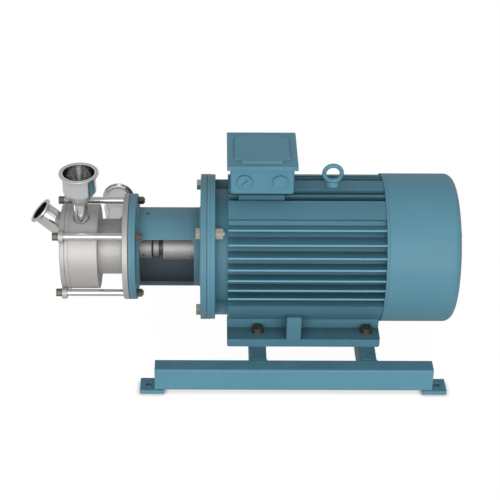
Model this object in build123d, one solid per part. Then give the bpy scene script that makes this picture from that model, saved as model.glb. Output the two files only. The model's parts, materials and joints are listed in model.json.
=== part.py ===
from build123d import *
import os
from math import asin, atan2, cos, degrees, radians, sin, sqrt, tan

# Inline disperser on a base frame, driven by a foot and flange mounted motor.
# Everything is drawn round the shaft: X runs along it from the wet end to the fan,
# with zero at the joint between lantern and motor, -Y is the front, +Z is up.
# place() then puts the origin on the floor, midway between the four anchor holes.
# All sizes are in millimetres.

# Fits and clearances
slip = 0.02
seat_gap = 0.05
seal_gap = 0.03
bolt_clearance = 0.6
tooth_gap = 0.6

# Base frame
foot_rise = 3.0
rail_length = 638.0
rail_height = 60.0
rail_width = 40.0
rail_wall = 4.0
rail_corner = 5.0
rail_centre = 200.0
frame_depth = 494.0
end_cap_thickness = 4.0
pad_length = 56.0
pad_width = 45.0
pad_thickness = 10.0
pad_overhang = 34.5
anchor_hole = 14.0
anchor_hole_from_end = 20.0

# Motor feet
foot_lead = 1.0
foot_setback = 2.0
foot_outer = 159.0
foot_wall_outer = 112.0
foot_wall_inner = 58.0
foot_plate = 21.0
foot_corner = 6.0
foot_hole_spacing = 254.0
foot_hole_gauge = 254.0
foot_hole_lead = 70.5
foot_bolt = 16.0
gusset_lead = 137.0
gusset_width = 33.0
gusset_below_axis = 90.0

# Hex fasteners: across flats and head height go with the thread size
flats_per_size = 1.5
hex_corner_cut = 1.12
hex_cut_slope = 30.0
head_per_size = 0.65
nut_per_size = 0.85
washer_per_size = 1.85
washer_thickness = 2.5

# Motor shell
flange_radius = 171.0
flange_thickness = 19.0
flange_bolt = 16.0
flange_bolt_circle = 150.0
spigot_radius = 125.0
spigot_length = 5.0
flange_band = 8.0
rim_chamfer = 1.2
small_chamfer = 0.5
shield_neck_radius = 136.0
shield_neck_length = 29.0
shield_wall = 10.0
bolt_lug_width = 26.0
bolt_lug_radius = 160.0
neck_nut_length = 18.0
bolt_end = 3.0
frame_length = 357.0
frame_bore = 135.0
frame_wall = 13.0
register_length = 8.0
register_wall = 11.0
fin_thickness = 4.5
fin_root_thickness = 6.5
fin_pitch = 25.6
fin_rows = 7
top_fin_height = 123.0
pad_from = 55.0
pad_to = 71.4
ridge_angle = 77.0
lower_pad_to = 70.0
under_fin_pitch = 22.0
under_fin_rows = 5
under_fin_radius = 164.0
top_pad_width = 40.0
shield_screw = 8.0
shield_screw_circle = 141.5
front_screw = 6.0
front_screw_circle = 130.5
front_screw_seat = 8.0
screw_ring_radius = 119.0
screw_ring_length = 12.0

# Fan end
end_shield_plate = 11.0
end_shield_step = 11.0
cowl_gap = 4.0
cowl_length = 164.0
cowl_rise = 3.0
cowl_sheet = 2.5
cowl_corner = 21.0
grille_inner = 32.0
grille_slot = 9.0
grille_bar = 8.0
grille_rings = 5
grille_spokes = 8
grille_spoke_width = 9.0
stud_radius = 6.0
stud_inset = 28.0
stud_thread = 8.0
stud_hole_depth = 14.0
cowl_screw_head = 7.0
cowl_screw_head_length = 5.0
fan_tip_gap = 9.0
fan_hub_radius = 28.0
fan_disc = 4.0
fan_blade = 4.0
fan_blades = 8
fan_width = 52.0
fan_gap = 10.5

# Motor inside
shaft_end_radius = 21.0
shaft_end_length = 96.0
seal_journal_radius = 22.0
oil_seal_radius = 36.0
bearing_bore = 45.0
bearing_outside = 100.0
bearing_width = 25.0
bearing_ring = 8.0
bearing_shield_gap = 0.3
hub_wall = 10.0
bearing_shoulder = 27.0
core_seat_radius = 30.0
fan_seat_radius = 19.0
fan_shoulder = 21.0
core_setback = 68.5
rotor_radius = 84.9
air_gap = 0.6
winding_length = 40.0
winding_inner = 92.0
winding_outer = 126.0
winding_round = 12.0
end_ring_length = 14.0
key_width = 12.0
key_height = 8.0
key_depth = 5.0
key_length = 60.0

# Terminal box
box_centre = 123.5
box_width = 142.0
box_height = 62.0
box_wall = 6.0
box_corner = 5.0
box_neck_height = 18.0
box_neck_width = 76.0
boss_width = 104.0
boss_depth = 100.0
boss_rise = 2.0
cable_hole = 36.0
gasket_thickness = 1.5
lid_width = 158.0
lid_thickness = 9.5
panel_width = 126.0
panel_height = 4.0
panel_taper = 20.0
panel_notch = 17.0
lid_screw = 5.0
lid_screw_inset = 10.0
plug_radius = 17.0
plug_spacing = 80.0
plug_height = 31.5
plug_proud = 6.0
plug_flats = 31.0
plug_thread_radius = 14.0
plug_slot = 3.0
plug_slot_depth = 1.8
terminal_block_length = 64.0
terminal_block_front = 24.0
terminal_block_depth = 28.0
terminal_block_height = 16.0
terminal_pitch = 20.0
terminal_row = 14.0
terminal_stud = 5.0
terminal_stud_height = 14.0
lid_chamfer = 1.2

# Lifting eye
eye_x = 286.5
eye_ring_radius = 20.0
eye_wire_radius = 5.0
eye_collar_radius = 15.0
eye_collar_height = 11.0
eye_shank_radius = 6.0
eye_shank_length = 20.0

# Lantern
lantern_length = 180.5
lantern_radius = 92.5
lantern_wall = 10.0
lantern_front_flange = 17.0
lantern_rear_flange = 15.0
lantern_front_wall = 14.0
lantern_fillet = 4.0
wet_flange_radius = 124.5
wet_spigot_radius = 45.0
wet_spigot_length = 6.0
window_start = 30.0
window_end = 156.0
window_top = 63.0
window_bottom = 66.0
window_corner = 10.0
vent_hole = 9.0
vent_x = 137.0

# Wet end
wet_flange = 13.5
housing_length = 58.5
housing_radius = 65.0
housing_bore = 52.0
chamber_length = 75.0
chamber_radius = 99.5
chamber_wall = 8.0
chamber_back_wall = 10.0
chamber_eye = 50.0
chamber_rim = 1.0
chamber_rim_length = 8.5
cover_thickness = 11.0
lug_radius = 14.5
tie_circle = 111.0
tie_rod = 12.0
tie_head_length = 12.0
tie_nut_length = 12.0
tie_end = 3.0
spacer_radius = 8.0
ring_section = 3.0
ring_squeeze = 0.3
cover_ring_inset = 4.5
housing_ring_radius = 60.5

# Clamp ports: outside diameters, the wall is the same for all
tube_wall = 1.65
rim_thickness = 2.9
rim_slope = 20.0
rim_root = 3.0
groove_width = 4.0
groove_depth = 1.6
funnel_x = 290.0
funnel_y = -24.5
funnel_rim = 91.0
funnel_tube = 76.2
funnel_neck = 34.0
funnel_top = 216.0
funnel_straight = 46.5
funnel_cone = 33.0
inlet_angle = 43.0
inlet_rim = 64.0
inlet_tube = 50.8
inlet_length = 67.0
inlet_foot_height = 54.0
inlet_root_length = 25.0
inlet_relief = 0.65
outlet_rim = 77.5
outlet_tube = 63.5
outlet_neck = 50.8
outlet_end = 221.0
outlet_straight = 54.0
outlet_cone = 36.0

# Dispersing tools
stator_plate = 5.95
stator_eye = 26.0
stator_ring_wall = 5.4
stator_slots = 24
stator_slot_width = 4.0
stator_inner_wall = 3.5
stator_inner_slots = 14
rotor_tip_radius = 40.0
rotor_ring_wall = 6.0
rotor_inner_wall = 5.5
rotor_slots = 14
rotor_inner_slots = 10
rotor_slot_width = 5.0
rotor_disc = 6.0
rotor_face_gap = 2.5
tooth_root = 4.0
tool_length = 28.0

# Stub shaft and seal
stub_seat_radius = 12.0
stub_seal_radius = 15.0
stub_neck_radius = 19.0
sleeve_radius = 32.0
sleeve_start = 12.0
sleeve_end = 103.0
sleeve_bore_end = 99.0
collar_radius = 28.6
collar_start = 130.5
collar_end = 158.5
splash_radius = 23.0
splash_start = 114.0
splash_end = 126.5
grub = 6.0
grub_length = 7.0
grub_recess = 1.0
grub_angle = -13.0
grub_from_end = 24.0
seat_outer = 27.0
seat_inner = 19.5
seat_length = 14.0
seat_proud = 4.0
seal_shoulder = 24.0
face_ring_radius = 25.0
face_ring_length = 8.0
bellows_radius = 22.0
bellows_folds = 3
bellows_fold_depth = 3.0
rotor_hub_radius = 18.0
impeller_hub_length = 24.0
impeller_radius = 70.0
impeller_blades = 4
impeller_blade = 4.0
impeller_blade_width = 26.0
impeller_pitch = 35.0
impeller_hub_gap = 41.0
nut_length = 14.0
nut_radius = 14.0
stud_end_radius = 8.0

# Places along the shaft
wet_face = -lantern_length
wet_flange_face = wet_face - wet_flange
housing_front = wet_flange_face - housing_length
chamber_front = housing_front - chamber_length
cover_face = chamber_front - cover_thickness
neck_start = flange_thickness
frame_start = flange_thickness + shield_neck_length
frame_end = frame_start + frame_length
end_shield_face = frame_end + end_shield_plate
cowl_start = frame_end + cowl_gap
cowl_end = cowl_start + cowl_length
foot_start = frame_start - foot_lead
foot_end = frame_end - foot_setback
first_foot_hole = frame_start + foot_hole_lead
gusset_start = frame_start + gusset_lead
drive_bearing = flange_thickness - 1.0
fan_bearing = frame_end - bearing_width / 2
fan_start = fan_bearing + bearing_width + hub_wall + fan_gap
core_start = frame_start + core_setback
core_end = frame_end - core_setback
stator_face = housing_front + stator_plate
rotor_back = stator_face + tool_length + tooth_gap
rotor_front = stator_face + rotor_face_gap
impeller_back = rotor_front - impeller_hub_gap
impeller_front = impeller_back - impeller_hub_length
seat_back = wet_face - 1.5
seat_face = seat_back - seat_length
face_ring_front = seat_face - seal_gap - face_ring_length

# Heights and radii worked out
frame_radius = flange_radius
cover_ring_radius = chamber_radius - cover_ring_inset
cowl_radius = frame_radius + cowl_rise
end_shield_radius = frame_radius - end_shield_step
stud_circle = frame_radius - stud_inset
fan_radius = stud_circle - stud_radius - fan_tip_gap
motor_axis_height = frame_radius + foot_rise
boss_top = frame_radius + boss_rise
box_bottom = boss_top + box_neck_height
rail_top = -motor_axis_height
rail_bottom = rail_top - rail_height
floor_level = rail_bottom - pad_thickness
frame_root = frame_bore + frame_wall
bearing_seat = bearing_bore / 2
bearing_housing = bearing_outside / 2
box_top = box_bottom + box_height
lid_bottom = box_top + gasket_thickness
lid_top = lid_bottom + lid_thickness
rail_y = frame_depth / 2 - rail_width / 2
foot_holes_x = (first_foot_hole, first_foot_hole + foot_hole_spacing)
foot_holes_y = (-foot_hole_gauge / 2, foot_hole_gauge / 2)
stator_ring_radius = rotor_tip_radius + tooth_gap
quarter_turns = (45, 135, 225, 315)
nut_turns = quarter_turns[:1]
threaded_turns = quarter_turns[1:]
bolt_reach = flange_thickness + neck_nut_length + bolt_end
square_turns = (0, 90, 180, 270)
low_align = (Align.CENTER, Align.CENTER, Align.MIN)


# Shared shapes

def outline(points):
    """Flat face in the XZ plane from (x, z) points."""
    return make_face(Polyline([(x, 0, z) for x, z in points], close=True))


def turned(points):
    """Solid turned round the shaft from (x, radius) points."""
    return revolve(outline(points), Axis.X)


def upright(points):
    """Solid turned round Z from (radius, z) points."""
    return revolve(outline(points), Axis.Z)


def ring(start, end, outer, inner):
    return turned([(start, inner), (start, outer), (end, outer), (end, inner)])


def rod(start, end, radius):
    return turned([(start, 0), (start, radius), (end, radius), (end, 0)])


def block(low, high):
    """Box between two corners."""
    size = [b - a for a, b in zip(low, high)]
    centre = [(a + b) / 2 for a, b in zip(low, high)]
    return Pos(*centre) * Box(*size)


def post(x, y, bottom, top, radius):
    return Pos(x, y, bottom) * Cylinder(radius, top - bottom, align=low_align)


def around(shape, angle):
    """The shape turned round the shaft; it is drawn on the +Z side."""
    return Rot(angle, 0, 0) * shape


def circle_places(radius, turns):
    """(y, z) points on a circle round the shaft, angles from the front upwards."""
    return [(-radius * cos(radians(a)), radius * sin(radians(a))) for a in turns]


def hex_bar(length, flats):
    """Hexagon along Z, standing on its origin."""
    return extrude(RegularPolygon(flats / 2, 6, major_radius=False), length)


def hex_head(length, flats):
    """Hexagon whose upper corners are turned off to a cone."""
    top = flats / 2 * hex_corner_cut - rim_chamfer
    wide = flats
    drop = (wide - top) * tan(radians(hex_cut_slope))
    cone = upright([(0, 0), (wide, 0), (wide, length - drop), (top, length), (0, length)])
    return hex_bar(length, flats) & cone


def lying(shape, x, y, z, turn=90):
    """Something drawn along Z laid along X; turn=90 points it to +X."""
    return Pos(x, y, z) * Rot(0, turn, 0) * shape


def hex_bolt(size, grip):
    """Bolt along Z with the seat of its head at the origin and its shank going down."""
    head = hex_head(size * head_per_size, size * flats_per_size)
    shank = Pos(0, 0, -grip) * Cylinder(size / 2, grip, align=low_align)
    return head + shank


def hex_nut(size, length):
    """Nut standing on its seat."""
    nut = hex_head(length, size * flats_per_size)
    return nut - Cylinder(size / 2 + seat_gap, length, align=low_align)


def washer(size):
    disc = Cylinder(size * washer_per_size / 2, washer_thickness, align=low_align)
    return disc - Cylinder(size / 2 + seat_gap, washer_thickness, align=low_align)


def socket_screw(size, head_radius, head_length, grip):
    """Socket head screw along Z, seat of the head at the origin, shank down."""
    head = Cylinder(head_radius, head_length, align=low_align)
    socket_depth = head_length / 2
    socket = Pos(0, 0, head_length - socket_depth) * hex_bar(socket_depth, size * 0.8)
    shank = Pos(0, 0, -grip) * Cylinder(size / 2, grip, align=low_align)
    return head - socket + shank


def clamp_port(rim, tube, end, straight, cone=0.0, neck=0.0, foot=0.0):
    """Clamp ferrule on a tube along Z: straight tube, then a reducer to a neck that
    goes down to foot. Returns the wall as one solid, with its mouth at end."""
    rim_r = rim / 2
    tube_r = tube / 2
    shoulder = tube_r + rim_root
    back = end - rim_thickness
    slope_foot = back - (rim_r - shoulder) * tan(radians(rim_slope))
    outer = [(rim_r, end), (rim_r, back), (shoulder, slope_foot), (tube_r, slope_foot - rim_root)]
    outer.append((tube_r, end - straight))
    inner = [(tube_r - tube_wall, end), (tube_r - tube_wall, end - straight)]
    if cone:
        outer.append((neck / 2, end - straight - cone))
        inner.append((neck / 2 - tube_wall, end - straight - cone))
        outer.append((neck / 2, foot))
        inner.append((neck / 2 - tube_wall, foot))
    wall = upright(outer + inner[::-1])
    groove_middle = (rim_r + tube_r - tube_wall) / 2
    groove = upright([
        (groove_middle - groove_width / 2, end),
        (groove_middle, end - groove_depth),
        (groove_middle + groove_width / 2, end),
    ])
    return wall - groove


def slotted(shape, count, width, start, end, inner, outer):
    """Cuts evenly spaced slots through a ring of teeth."""
    slot = block((start, -width / 2, inner), (end, width / 2, outer))
    for k in range(count):
        shape = shape - around(slot, 360 / count * k)
    return shape


def sector(radius, low, high, side):
    """Part of a disc in the YZ plane, angles from the horizontal on one side."""
    reach = 2 * radius
    spread = [low + (high - low) * k / 3 for k in range(4)]
    corners = [(side * reach * cos(radians(a)), reach * sin(radians(a))) for a in spread]
    return Circle(radius) & make_face(Polyline([(0, 0)] + corners, close=True))


# Base frame

def rail(y):
    section = RectangleRounded(rail_width, rail_height, rail_corner)
    inside = RectangleRounded(
        rail_width - 2 * rail_wall, rail_height - 2 * rail_wall, rail_corner / 2)
    start = rail_centre - rail_length / 2
    plane = Plane.YZ.offset(start)
    middle = (rail_top + rail_bottom) / 2
    return extrude(plane * Pos(y, middle) * (section - inside), rail_length)


def rail_end_caps():
    width = rail_width - 2 * rail_wall - 2 * seat_gap
    height = rail_height - 2 * rail_wall - 2 * seat_gap
    middle = (rail_top + rail_bottom) / 2
    caps = []
    for side in (-1, 1):
        outer_face = rail_centre + side * rail_length / 2
        cap_middle = outer_face - side * end_cap_thickness / 2
        for y in (-rail_y, rail_y):
            plate = Box(end_cap_thickness, width, height)
            plate = fillet(plate.edges().filter_by(Axis.X), rail_corner / 2)
            caps.append(Pos(cap_middle, y, middle) * plate)
    return caps


def anchor_pads():
    pads = []
    for side in (-1, 1):
        outer_end = rail_centre + side * (rail_length / 2 + pad_overhang)
        hole_x = outer_end - side * anchor_hole_from_end
        for front in (-1, 1):
            y = front * (frame_depth / 2 - pad_width / 2)
            pad_x = outer_end - side * pad_length / 2
            pad = Pos(pad_x, y, floor_level) * Box(
                pad_length, pad_width, pad_thickness, align=low_align)
            hole = post(hole_x, y, floor_level, rail_bottom, anchor_hole / 2)
            pads.append(pad - hole)
    return pads


def cross_beam(x):
    length = frame_depth - 2 * rail_width
    section = RectangleRounded(rail_width, rail_height, rail_corner)
    inside = RectangleRounded(
        rail_width - 2 * rail_wall, rail_height - 2 * rail_wall, rail_corner / 2)
    plane = Plane.XZ.offset(-length / 2)
    middle = (rail_top + rail_bottom) / 2
    beam = extrude(plane * Pos(x, middle) * (section - inside), length)
    for y in foot_holes_y:
        hole_radius = foot_bolt / 2 + bolt_clearance
        beam = beam - post(x, y, rail_top - 2 * rail_wall, rail_top + 1, hole_radius)
    return beam


# Motor feet

def motor_foot(side):
    """One foot: plate under it, saddle against the housing, gusset in the middle."""
    low = -motor_axis_height
    plate_top = low + foot_plate
    start = foot_start
    end = foot_end
    plate = block((start, foot_wall_inner, low), (end, foot_outer, plate_top))
    outer_edges = plate.edges().filter_by(Axis.Z).group_by(Axis.Y)[-1]
    plate = fillet(outer_edges, foot_corner)
    saddle = block((start, foot_wall_inner, low), (end, foot_wall_outer, -frame_root / 2))
    gusset = block(
        (gusset_start, foot_wall_inner, low),
        (gusset_start + gusset_width, foot_outer, -gusset_below_axis))
    foot = plate + saddle + gusset
    foot = foot - rod(start - 1, end + 1, frame_radius + seat_gap)
    for x in foot_holes_x:
        hole_radius = foot_bolt / 2 + bolt_clearance
        foot = foot - post(x, foot_hole_gauge / 2, low - 1, plate_top + 1, hole_radius)
    foot = foot.solids().sort_by(Axis.Z)[0]
    return foot if side > 0 else mirror(foot, Plane.XZ)


def foot_bolts():
    seat = -motor_axis_height + foot_plate
    grip = foot_plate + washer_thickness + rail_wall + foot_bolt * nut_per_size + 2
    pieces = []
    for x in foot_holes_x:
        for y in foot_holes_y:
            pieces.append(Pos(x, y, seat) * washer(foot_bolt))
            pieces.append(Pos(x, y, seat + washer_thickness) * hex_bolt(foot_bolt, grip))
    return pieces


def foot_nuts():
    length = foot_bolt * nut_per_size
    nut = Pos(0, 0, rail_top - rail_wall - length) * hex_nut(foot_bolt, length)
    return [Pos(x, y, 0) * nut for x in foot_holes_x for y in foot_holes_y]


# Motor shell

def fin(height, side):
    """One level fin from the middle out to the housing's outer circle, thinner at its tip."""
    tip = sqrt(frame_radius ** 2 - height ** 2)
    low = height - fin_root_thickness / 2
    high = height + fin_root_thickness / 2
    tip_low = height - fin_thickness / 2
    tip_high = height + fin_thickness / 2
    corners = [(0, low), (side * tip, tip_low), (side * tip, tip_high), (0, high)]
    return make_face(Polyline(corners, close=True))


def stator_frame():
    section = Circle(frame_root)
    lowest = top_fin_height - fin_pitch * fin_rows
    lower_pad_from = degrees(asin(lowest / frame_radius))
    ridge_length = frame_radius - frame_bore
    for side in (-1, 1):
        for k in range(fin_rows):
            section += fin(top_fin_height - fin_pitch * k, side)
        section += sector(frame_radius, pad_from, pad_to, side)
        section += sector(frame_radius, -lower_pad_to, lower_pad_from, side)
        ridge = Pos(frame_radius - ridge_length / 2, 0) * Rectangle(ridge_length, fin_thickness)
        section += Rot(0, 0, 90 - side * (90 - ridge_angle)) * ridge
    section += Pos(0, frame_radius / 2) * Rectangle(top_pad_width, frame_radius)
    for k in range(under_fin_rows):
        y = (k - (under_fin_rows - 1) / 2) * under_fin_pitch
        drop = sqrt(under_fin_radius ** 2 - y ** 2)
        section += Pos(y, -drop / 2) * Rectangle(fin_thickness, drop)
    section -= Circle(frame_bore)
    shell = extrude(Plane.YZ.offset(frame_start) * section, frame_length)
    boss = block(
        (box_centre - boss_width / 2, -boss_depth / 2, frame_root - frame_wall / 2),
        (box_centre + boss_width / 2, boss_depth / 2, boss_top))
    shell = shell + (boss - rod(frame_start, frame_end, frame_bore + frame_wall / 2))
    shell = shell - post(box_centre, 0, 0, boss_top + 1, cable_hole / 2)
    shell = shell - post(
        eye_x, 0, frame_radius - eye_shank_length - 2, frame_radius + 1,
        eye_shank_radius + seat_gap)
    shell = shell + screw_ring()
    tapped = frame_end - 2 * shield_screw - 2
    hole = rod(tapped, frame_end + 1, shield_screw / 2 + seat_gap)
    return with_holes(shell, hole, shield_screw_circle, square_turns)


def screw_ring():
    """Ring inside the housing that the drive end screws are threaded into."""
    start = frame_start + register_length + 1
    end = start + screw_ring_length
    body = ring(start, end, frame_bore + frame_wall / 2, screw_ring_radius)
    hole = rod(start - 1, end + 1, front_screw / 2 + seat_gap)
    return with_holes(body, hole, front_screw_circle, square_turns)


def with_holes(shape, hole, circle, turns):
    """The shape with one hole on a circle round the shaft for each turn."""
    for y, z in circle_places(circle, turns):
        shape = shape - Pos(0, y, z) * hole
    return shape


def drive_end_shield():
    register = frame_bore - seat_gap
    hub = bearing_housing + hub_wall
    bearing_end = drive_bearing + bearing_width
    lip = seal_journal_radius + 4
    shield = turned([
        (-spigot_length, oil_seal_radius + slip),
        (-spigot_length, spigot_radius - seat_gap),
        (0, spigot_radius - seat_gap),
        (0, flange_radius - rim_chamfer),
        (rim_chamfer, flange_radius),
        (flange_band - rim_chamfer / 2, flange_radius),
        (flange_band, flange_radius - rim_chamfer / 2),
        (flange_thickness - rim_chamfer, flange_radius - rim_chamfer / 2),
        (flange_thickness, flange_radius - 2 * rim_chamfer),
        (flange_thickness, shield_neck_radius),
        (frame_start, shield_neck_radius),
        (frame_start, register),
        (frame_start + register_length, register),
        (frame_start + register_length, register - register_wall),
        (shield_wall, register - register_wall),
        (shield_wall, hub + hub_wall / 2),
        (bearing_end, hub),
        (bearing_end, bearing_housing + slip),
        (drive_bearing, bearing_housing + slip),
        (drive_bearing, lip),
        (spigot_length + 1, lip),
        (spigot_length + 1, oil_seal_radius + slip),
    ])
    lug = block(
        (neck_start - 1, -bolt_lug_width / 2, shield_neck_radius - shield_wall / 2),
        (frame_start, bolt_lug_width / 2, bolt_lug_radius))
    for y, z in circle_places(1, threaded_turns):
        shield = shield + around(lug, degrees(atan2(-y, z)))
    through = rod(-1, flange_thickness + 1, flange_bolt / 2 + bolt_clearance)
    shield = with_holes(shield, through, flange_bolt_circle, nut_turns)
    tapped = rod(-1, bolt_reach + bolt_end, flange_bolt / 2 + seat_gap)
    shield = with_holes(shield, tapped, flange_bolt_circle, threaded_turns)
    screw_hole = rod(0, frame_start + register_length + 1, front_screw / 2 + bolt_clearance / 2)
    counterbore = rod(-1, front_screw_seat, front_screw * 0.9)
    shield = with_holes(shield, screw_hole + counterbore, front_screw_circle, square_turns)
    return shield


def fan_end_shield():
    register = frame_bore - seat_gap
    bore_end = fan_bearing + bearing_width
    hub = bearing_housing + hub_wall
    shield = turned([
        (frame_end - register_length, register - register_wall),
        (frame_end - register_length, register),
        (frame_end, register),
        (frame_end, end_shield_radius),
        (end_shield_face, end_shield_radius),
        (end_shield_face, hub + 2),
        (bore_end + hub_wall, hub),
        (bore_end + hub_wall, bearing_seat + 2),
        (bore_end, bearing_seat + 2),
        (bore_end, bearing_housing + slip),
        (fan_bearing, bearing_housing + slip),
        (fan_bearing, hub),
        (frame_end, hub + hub_wall / 2),
        (frame_end, register - register_wall),
    ])
    screw_hole = rod(frame_end - 1, end_shield_face + 1, shield_screw / 2 + bolt_clearance / 2)
    shield = with_holes(shield, screw_hole, shield_screw_circle, square_turns)
    stud_hole = rod(frame_end - 1, end_shield_face + 1, stud_thread / 2 + seat_gap)
    return with_holes(shield, stud_hole, stud_circle, quarter_turns)


def shield_screws():
    """Socket screws behind the lantern flange, hex screws at the fan end."""
    grip_front = frame_start + register_length + screw_ring_length - front_screw_seat
    grip_back = end_shield_plate + 2 * shield_screw
    screws = []
    front = socket_screw(front_screw, front_screw * 0.8, front_screw, grip_front)
    for y, z in circle_places(front_screw_circle, square_turns):
        screws.append(lying(front, front_screw_seat, y, z, -90))
    for y, z in circle_places(shield_screw_circle, square_turns):
        screws.append(lying(hex_bolt(shield_screw, grip_back), end_shield_face, y, z))
    return screws


def fan_cowl():
    outside = rod(cowl_start, cowl_end, cowl_radius)
    outside = fillet(outside.edges().group_by(Axis.X)[-1], cowl_corner)
    inside = rod(cowl_start - 1, cowl_end - cowl_sheet, cowl_radius - cowl_sheet)
    inside = fillet(inside.edges().group_by(Axis.X)[-1], cowl_corner - cowl_sheet)
    slots = Sketch()
    for k in range(grille_rings):
        inner = grille_inner + k * (grille_slot + grille_bar)
        slots += Circle(inner + grille_slot) - Circle(inner)
    reach = grille_inner + grille_rings * (grille_slot + grille_bar)
    for k in range(grille_spokes):
        spoke = Pos(reach / 2, 0) * Rectangle(reach, grille_spoke_width)
        slots -= Rot(0, 0, 360 / grille_spokes * (k + 0.5)) * spoke
    cut = extrude(Plane.YZ.offset(cowl_end - 2 * cowl_sheet) * slots, 3 * cowl_sheet)
    cowl = outside - inside - cut
    screw_hole = rod(cowl_end - cowl_sheet - 1, cowl_end + 1, stud_thread / 2 + seat_gap)
    return with_holes(cowl, screw_hole, stud_circle, quarter_turns)


def cowl_studs():
    tail = stud_thread / 2
    start = frame_end + 1
    end = cowl_end - cowl_sheet
    stud = turned([
        (start, 0), (start, tail), (end_shield_face, tail), (end_shield_face, stud_radius),
        (end, stud_radius), (end, tail + seat_gap),
        (end - stud_hole_depth, tail + seat_gap), (end - stud_hole_depth, 0)])
    return [Pos(0, y, z) * stud for y, z in circle_places(stud_circle, quarter_turns)]


def cowl_screws():
    grip = cowl_sheet + stud_hole_depth - bolt_end
    screw = socket_screw(stud_thread, cowl_screw_head, cowl_screw_head_length, grip)
    return [lying(screw, cowl_end, y, z) for y, z in circle_places(stud_circle, quarter_turns)]


def cooling_fan():
    fan = ring(fan_start, fan_start + fan_width, fan_hub_radius, fan_seat_radius + slip)
    fan = fan + ring(fan_start, fan_start + fan_disc, fan_radius, fan_hub_radius - 1)
    blade = block(
        (fan_start + fan_disc / 2, -fan_blade / 2, fan_hub_radius - 2),
        (fan_start + fan_width, fan_blade / 2, fan_radius))
    taper = outline([
        (fan_start + fan_width * 0.6, fan_radius + 1), (fan_start + fan_width + 1, fan_radius + 1),
        (fan_start + fan_width + 1, fan_radius * 0.55)])
    blade = blade - extrude(taper, fan_blade, both=True)
    for k in range(fan_blades):
        fan = fan + around(blade, 360 / fan_blades * k)
    return fan


# Motor inside

def bearing_outer(start):
    """Outer ring with its two shields, which stop just short of the inner ring."""
    wide = bearing_housing
    track = wide - bearing_ring
    lip = bearing_seat + bearing_ring + bearing_shield_gap
    shield = 2.0
    end = start + bearing_width
    return turned([
        (start, lip), (start, wide), (end, wide), (end, lip), (end - shield, lip),
        (end - shield, track), (start + shield, track), (start + shield, lip)])


def bearing_inner(start):
    return ring(start, start + bearing_width, bearing_seat + bearing_ring, bearing_seat + slip)


def oil_seal():
    lip = seal_journal_radius + slip
    start = -spigot_length
    end = spigot_length + 1
    return turned([
        (start, lip + 3), (start, oil_seal_radius), (end, oil_seal_radius), (end, lip + 8),
        (start + 4, lip + 8), (start + 7, lip), (start + 3, lip)])


def stator_core():
    return ring(core_start, core_end, frame_bore - slip, rotor_radius + air_gap)


def stator_windings():
    start = core_start - winding_length
    def coil(near, far):
        turn = 1 if far > near else -1
        return turned([
            (near, winding_inner), (near, winding_outer), (far - turn * winding_round, winding_outer),
            (far, winding_outer - winding_round), (far, winding_inner + winding_round / 2),
            (far - turn * winding_round / 2, winding_inner)])
    return [coil(core_start, start), coil(core_end, core_end + winding_length)]


def rotor_core():
    seat = core_seat_radius + slip
    inner = rotor_radius * 0.72
    outer = rotor_radius - 3
    return turned([
        (core_start, seat), (core_start, inner), (core_start - end_ring_length, inner),
        (core_start - end_ring_length, outer), (core_start, outer), (core_start, rotor_radius),
        (core_end, rotor_radius), (core_end, outer), (core_end + end_ring_length, outer),
        (core_end + end_ring_length, inner), (core_end, inner), (core_end, seat)])


def motor_shaft():
    drive_shoulder = drive_bearing + bearing_width
    fan_end = fan_start + fan_width + 6
    shaft = turned([
        (-shaft_end_length, 0), (-shaft_end_length, shaft_end_radius),
        (-spigot_length - 2, shaft_end_radius), (-spigot_length - 2, seal_journal_radius),
        (drive_bearing - 2, seal_journal_radius), (drive_bearing - 2, bearing_seat),
        (drive_shoulder, bearing_seat), (drive_shoulder, bearing_shoulder),
        (core_start - end_ring_length, bearing_shoulder),
        (core_start - end_ring_length, core_seat_radius), (core_end, core_seat_radius),
        (core_end, bearing_shoulder), (fan_bearing, bearing_shoulder), (fan_bearing, bearing_seat),
        (fan_bearing + bearing_width, bearing_seat), (fan_bearing + bearing_width, fan_shoulder),
        (fan_start, fan_shoulder), (fan_start, fan_seat_radius),
        (fan_end, fan_seat_radius), (fan_end, 0)])
    return shaft - key_slot()


def key_span():
    start = -shaft_end_length + 6
    return start, start + key_length


def key_slot():
    start, end = key_span()
    return block(
        (start, -key_width / 2, shaft_end_radius - key_depth),
        (end, key_width / 2, shaft_end_radius + key_height))


def shaft_key():
    start, end = key_span()
    bottom = shaft_end_radius - key_depth
    return block(
        (start + seat_gap, -key_width / 2 + seat_gap, bottom),
        (end - seat_gap, key_width / 2 - seat_gap, bottom + key_height))


# Terminal box

def box_corners(inset):
    reach = box_width / 2 - inset
    return [(box_centre + i * reach, j * reach) for i in (-1, 1) for j in (-1, 1)]


def plug_places():
    height = box_bottom + plug_height
    return [(box_centre + side * plug_spacing / 2, height) for side in (-1, 1)]


def terminal_box_base():
    half = box_width / 2
    body = block(
        (box_centre - half, -half, box_bottom), (box_centre + half, half, box_top))
    body = fillet(body.edges().filter_by(Axis.Z), box_corner)
    inner_half = half - box_wall
    body = body - block(
        (box_centre - inner_half, -inner_half, box_bottom + box_wall),
        (box_centre + inner_half, inner_half, box_top + 1))
    for x, y in box_corners(lid_screw_inset):
        body = body + post(x, y, box_bottom + box_wall / 2, box_top, lid_screw)
        body = body - post(x, y, box_top - 3 * lid_screw, box_top + 1, lid_screw / 2 + seat_gap)
    neck = block(
        (box_centre - box_neck_width / 2, -box_neck_width / 2, boss_top),
        (box_centre + box_neck_width / 2, box_neck_width / 2, box_bottom + box_wall / 2))
    body = body + neck
    body = body - post(box_centre, 0, boss_top - 1, box_bottom + box_wall + 1, cable_hole / 2)
    for (x, z), radius in zip(plug_places(), (plug_radius, plug_thread_radius)):
        hole = Cylinder(radius, 3 * box_wall, align=low_align)
        body = body - Pos(x, -half + 2 * box_wall, z) * Rot(90, 0, 0) * hole
    return body


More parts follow.
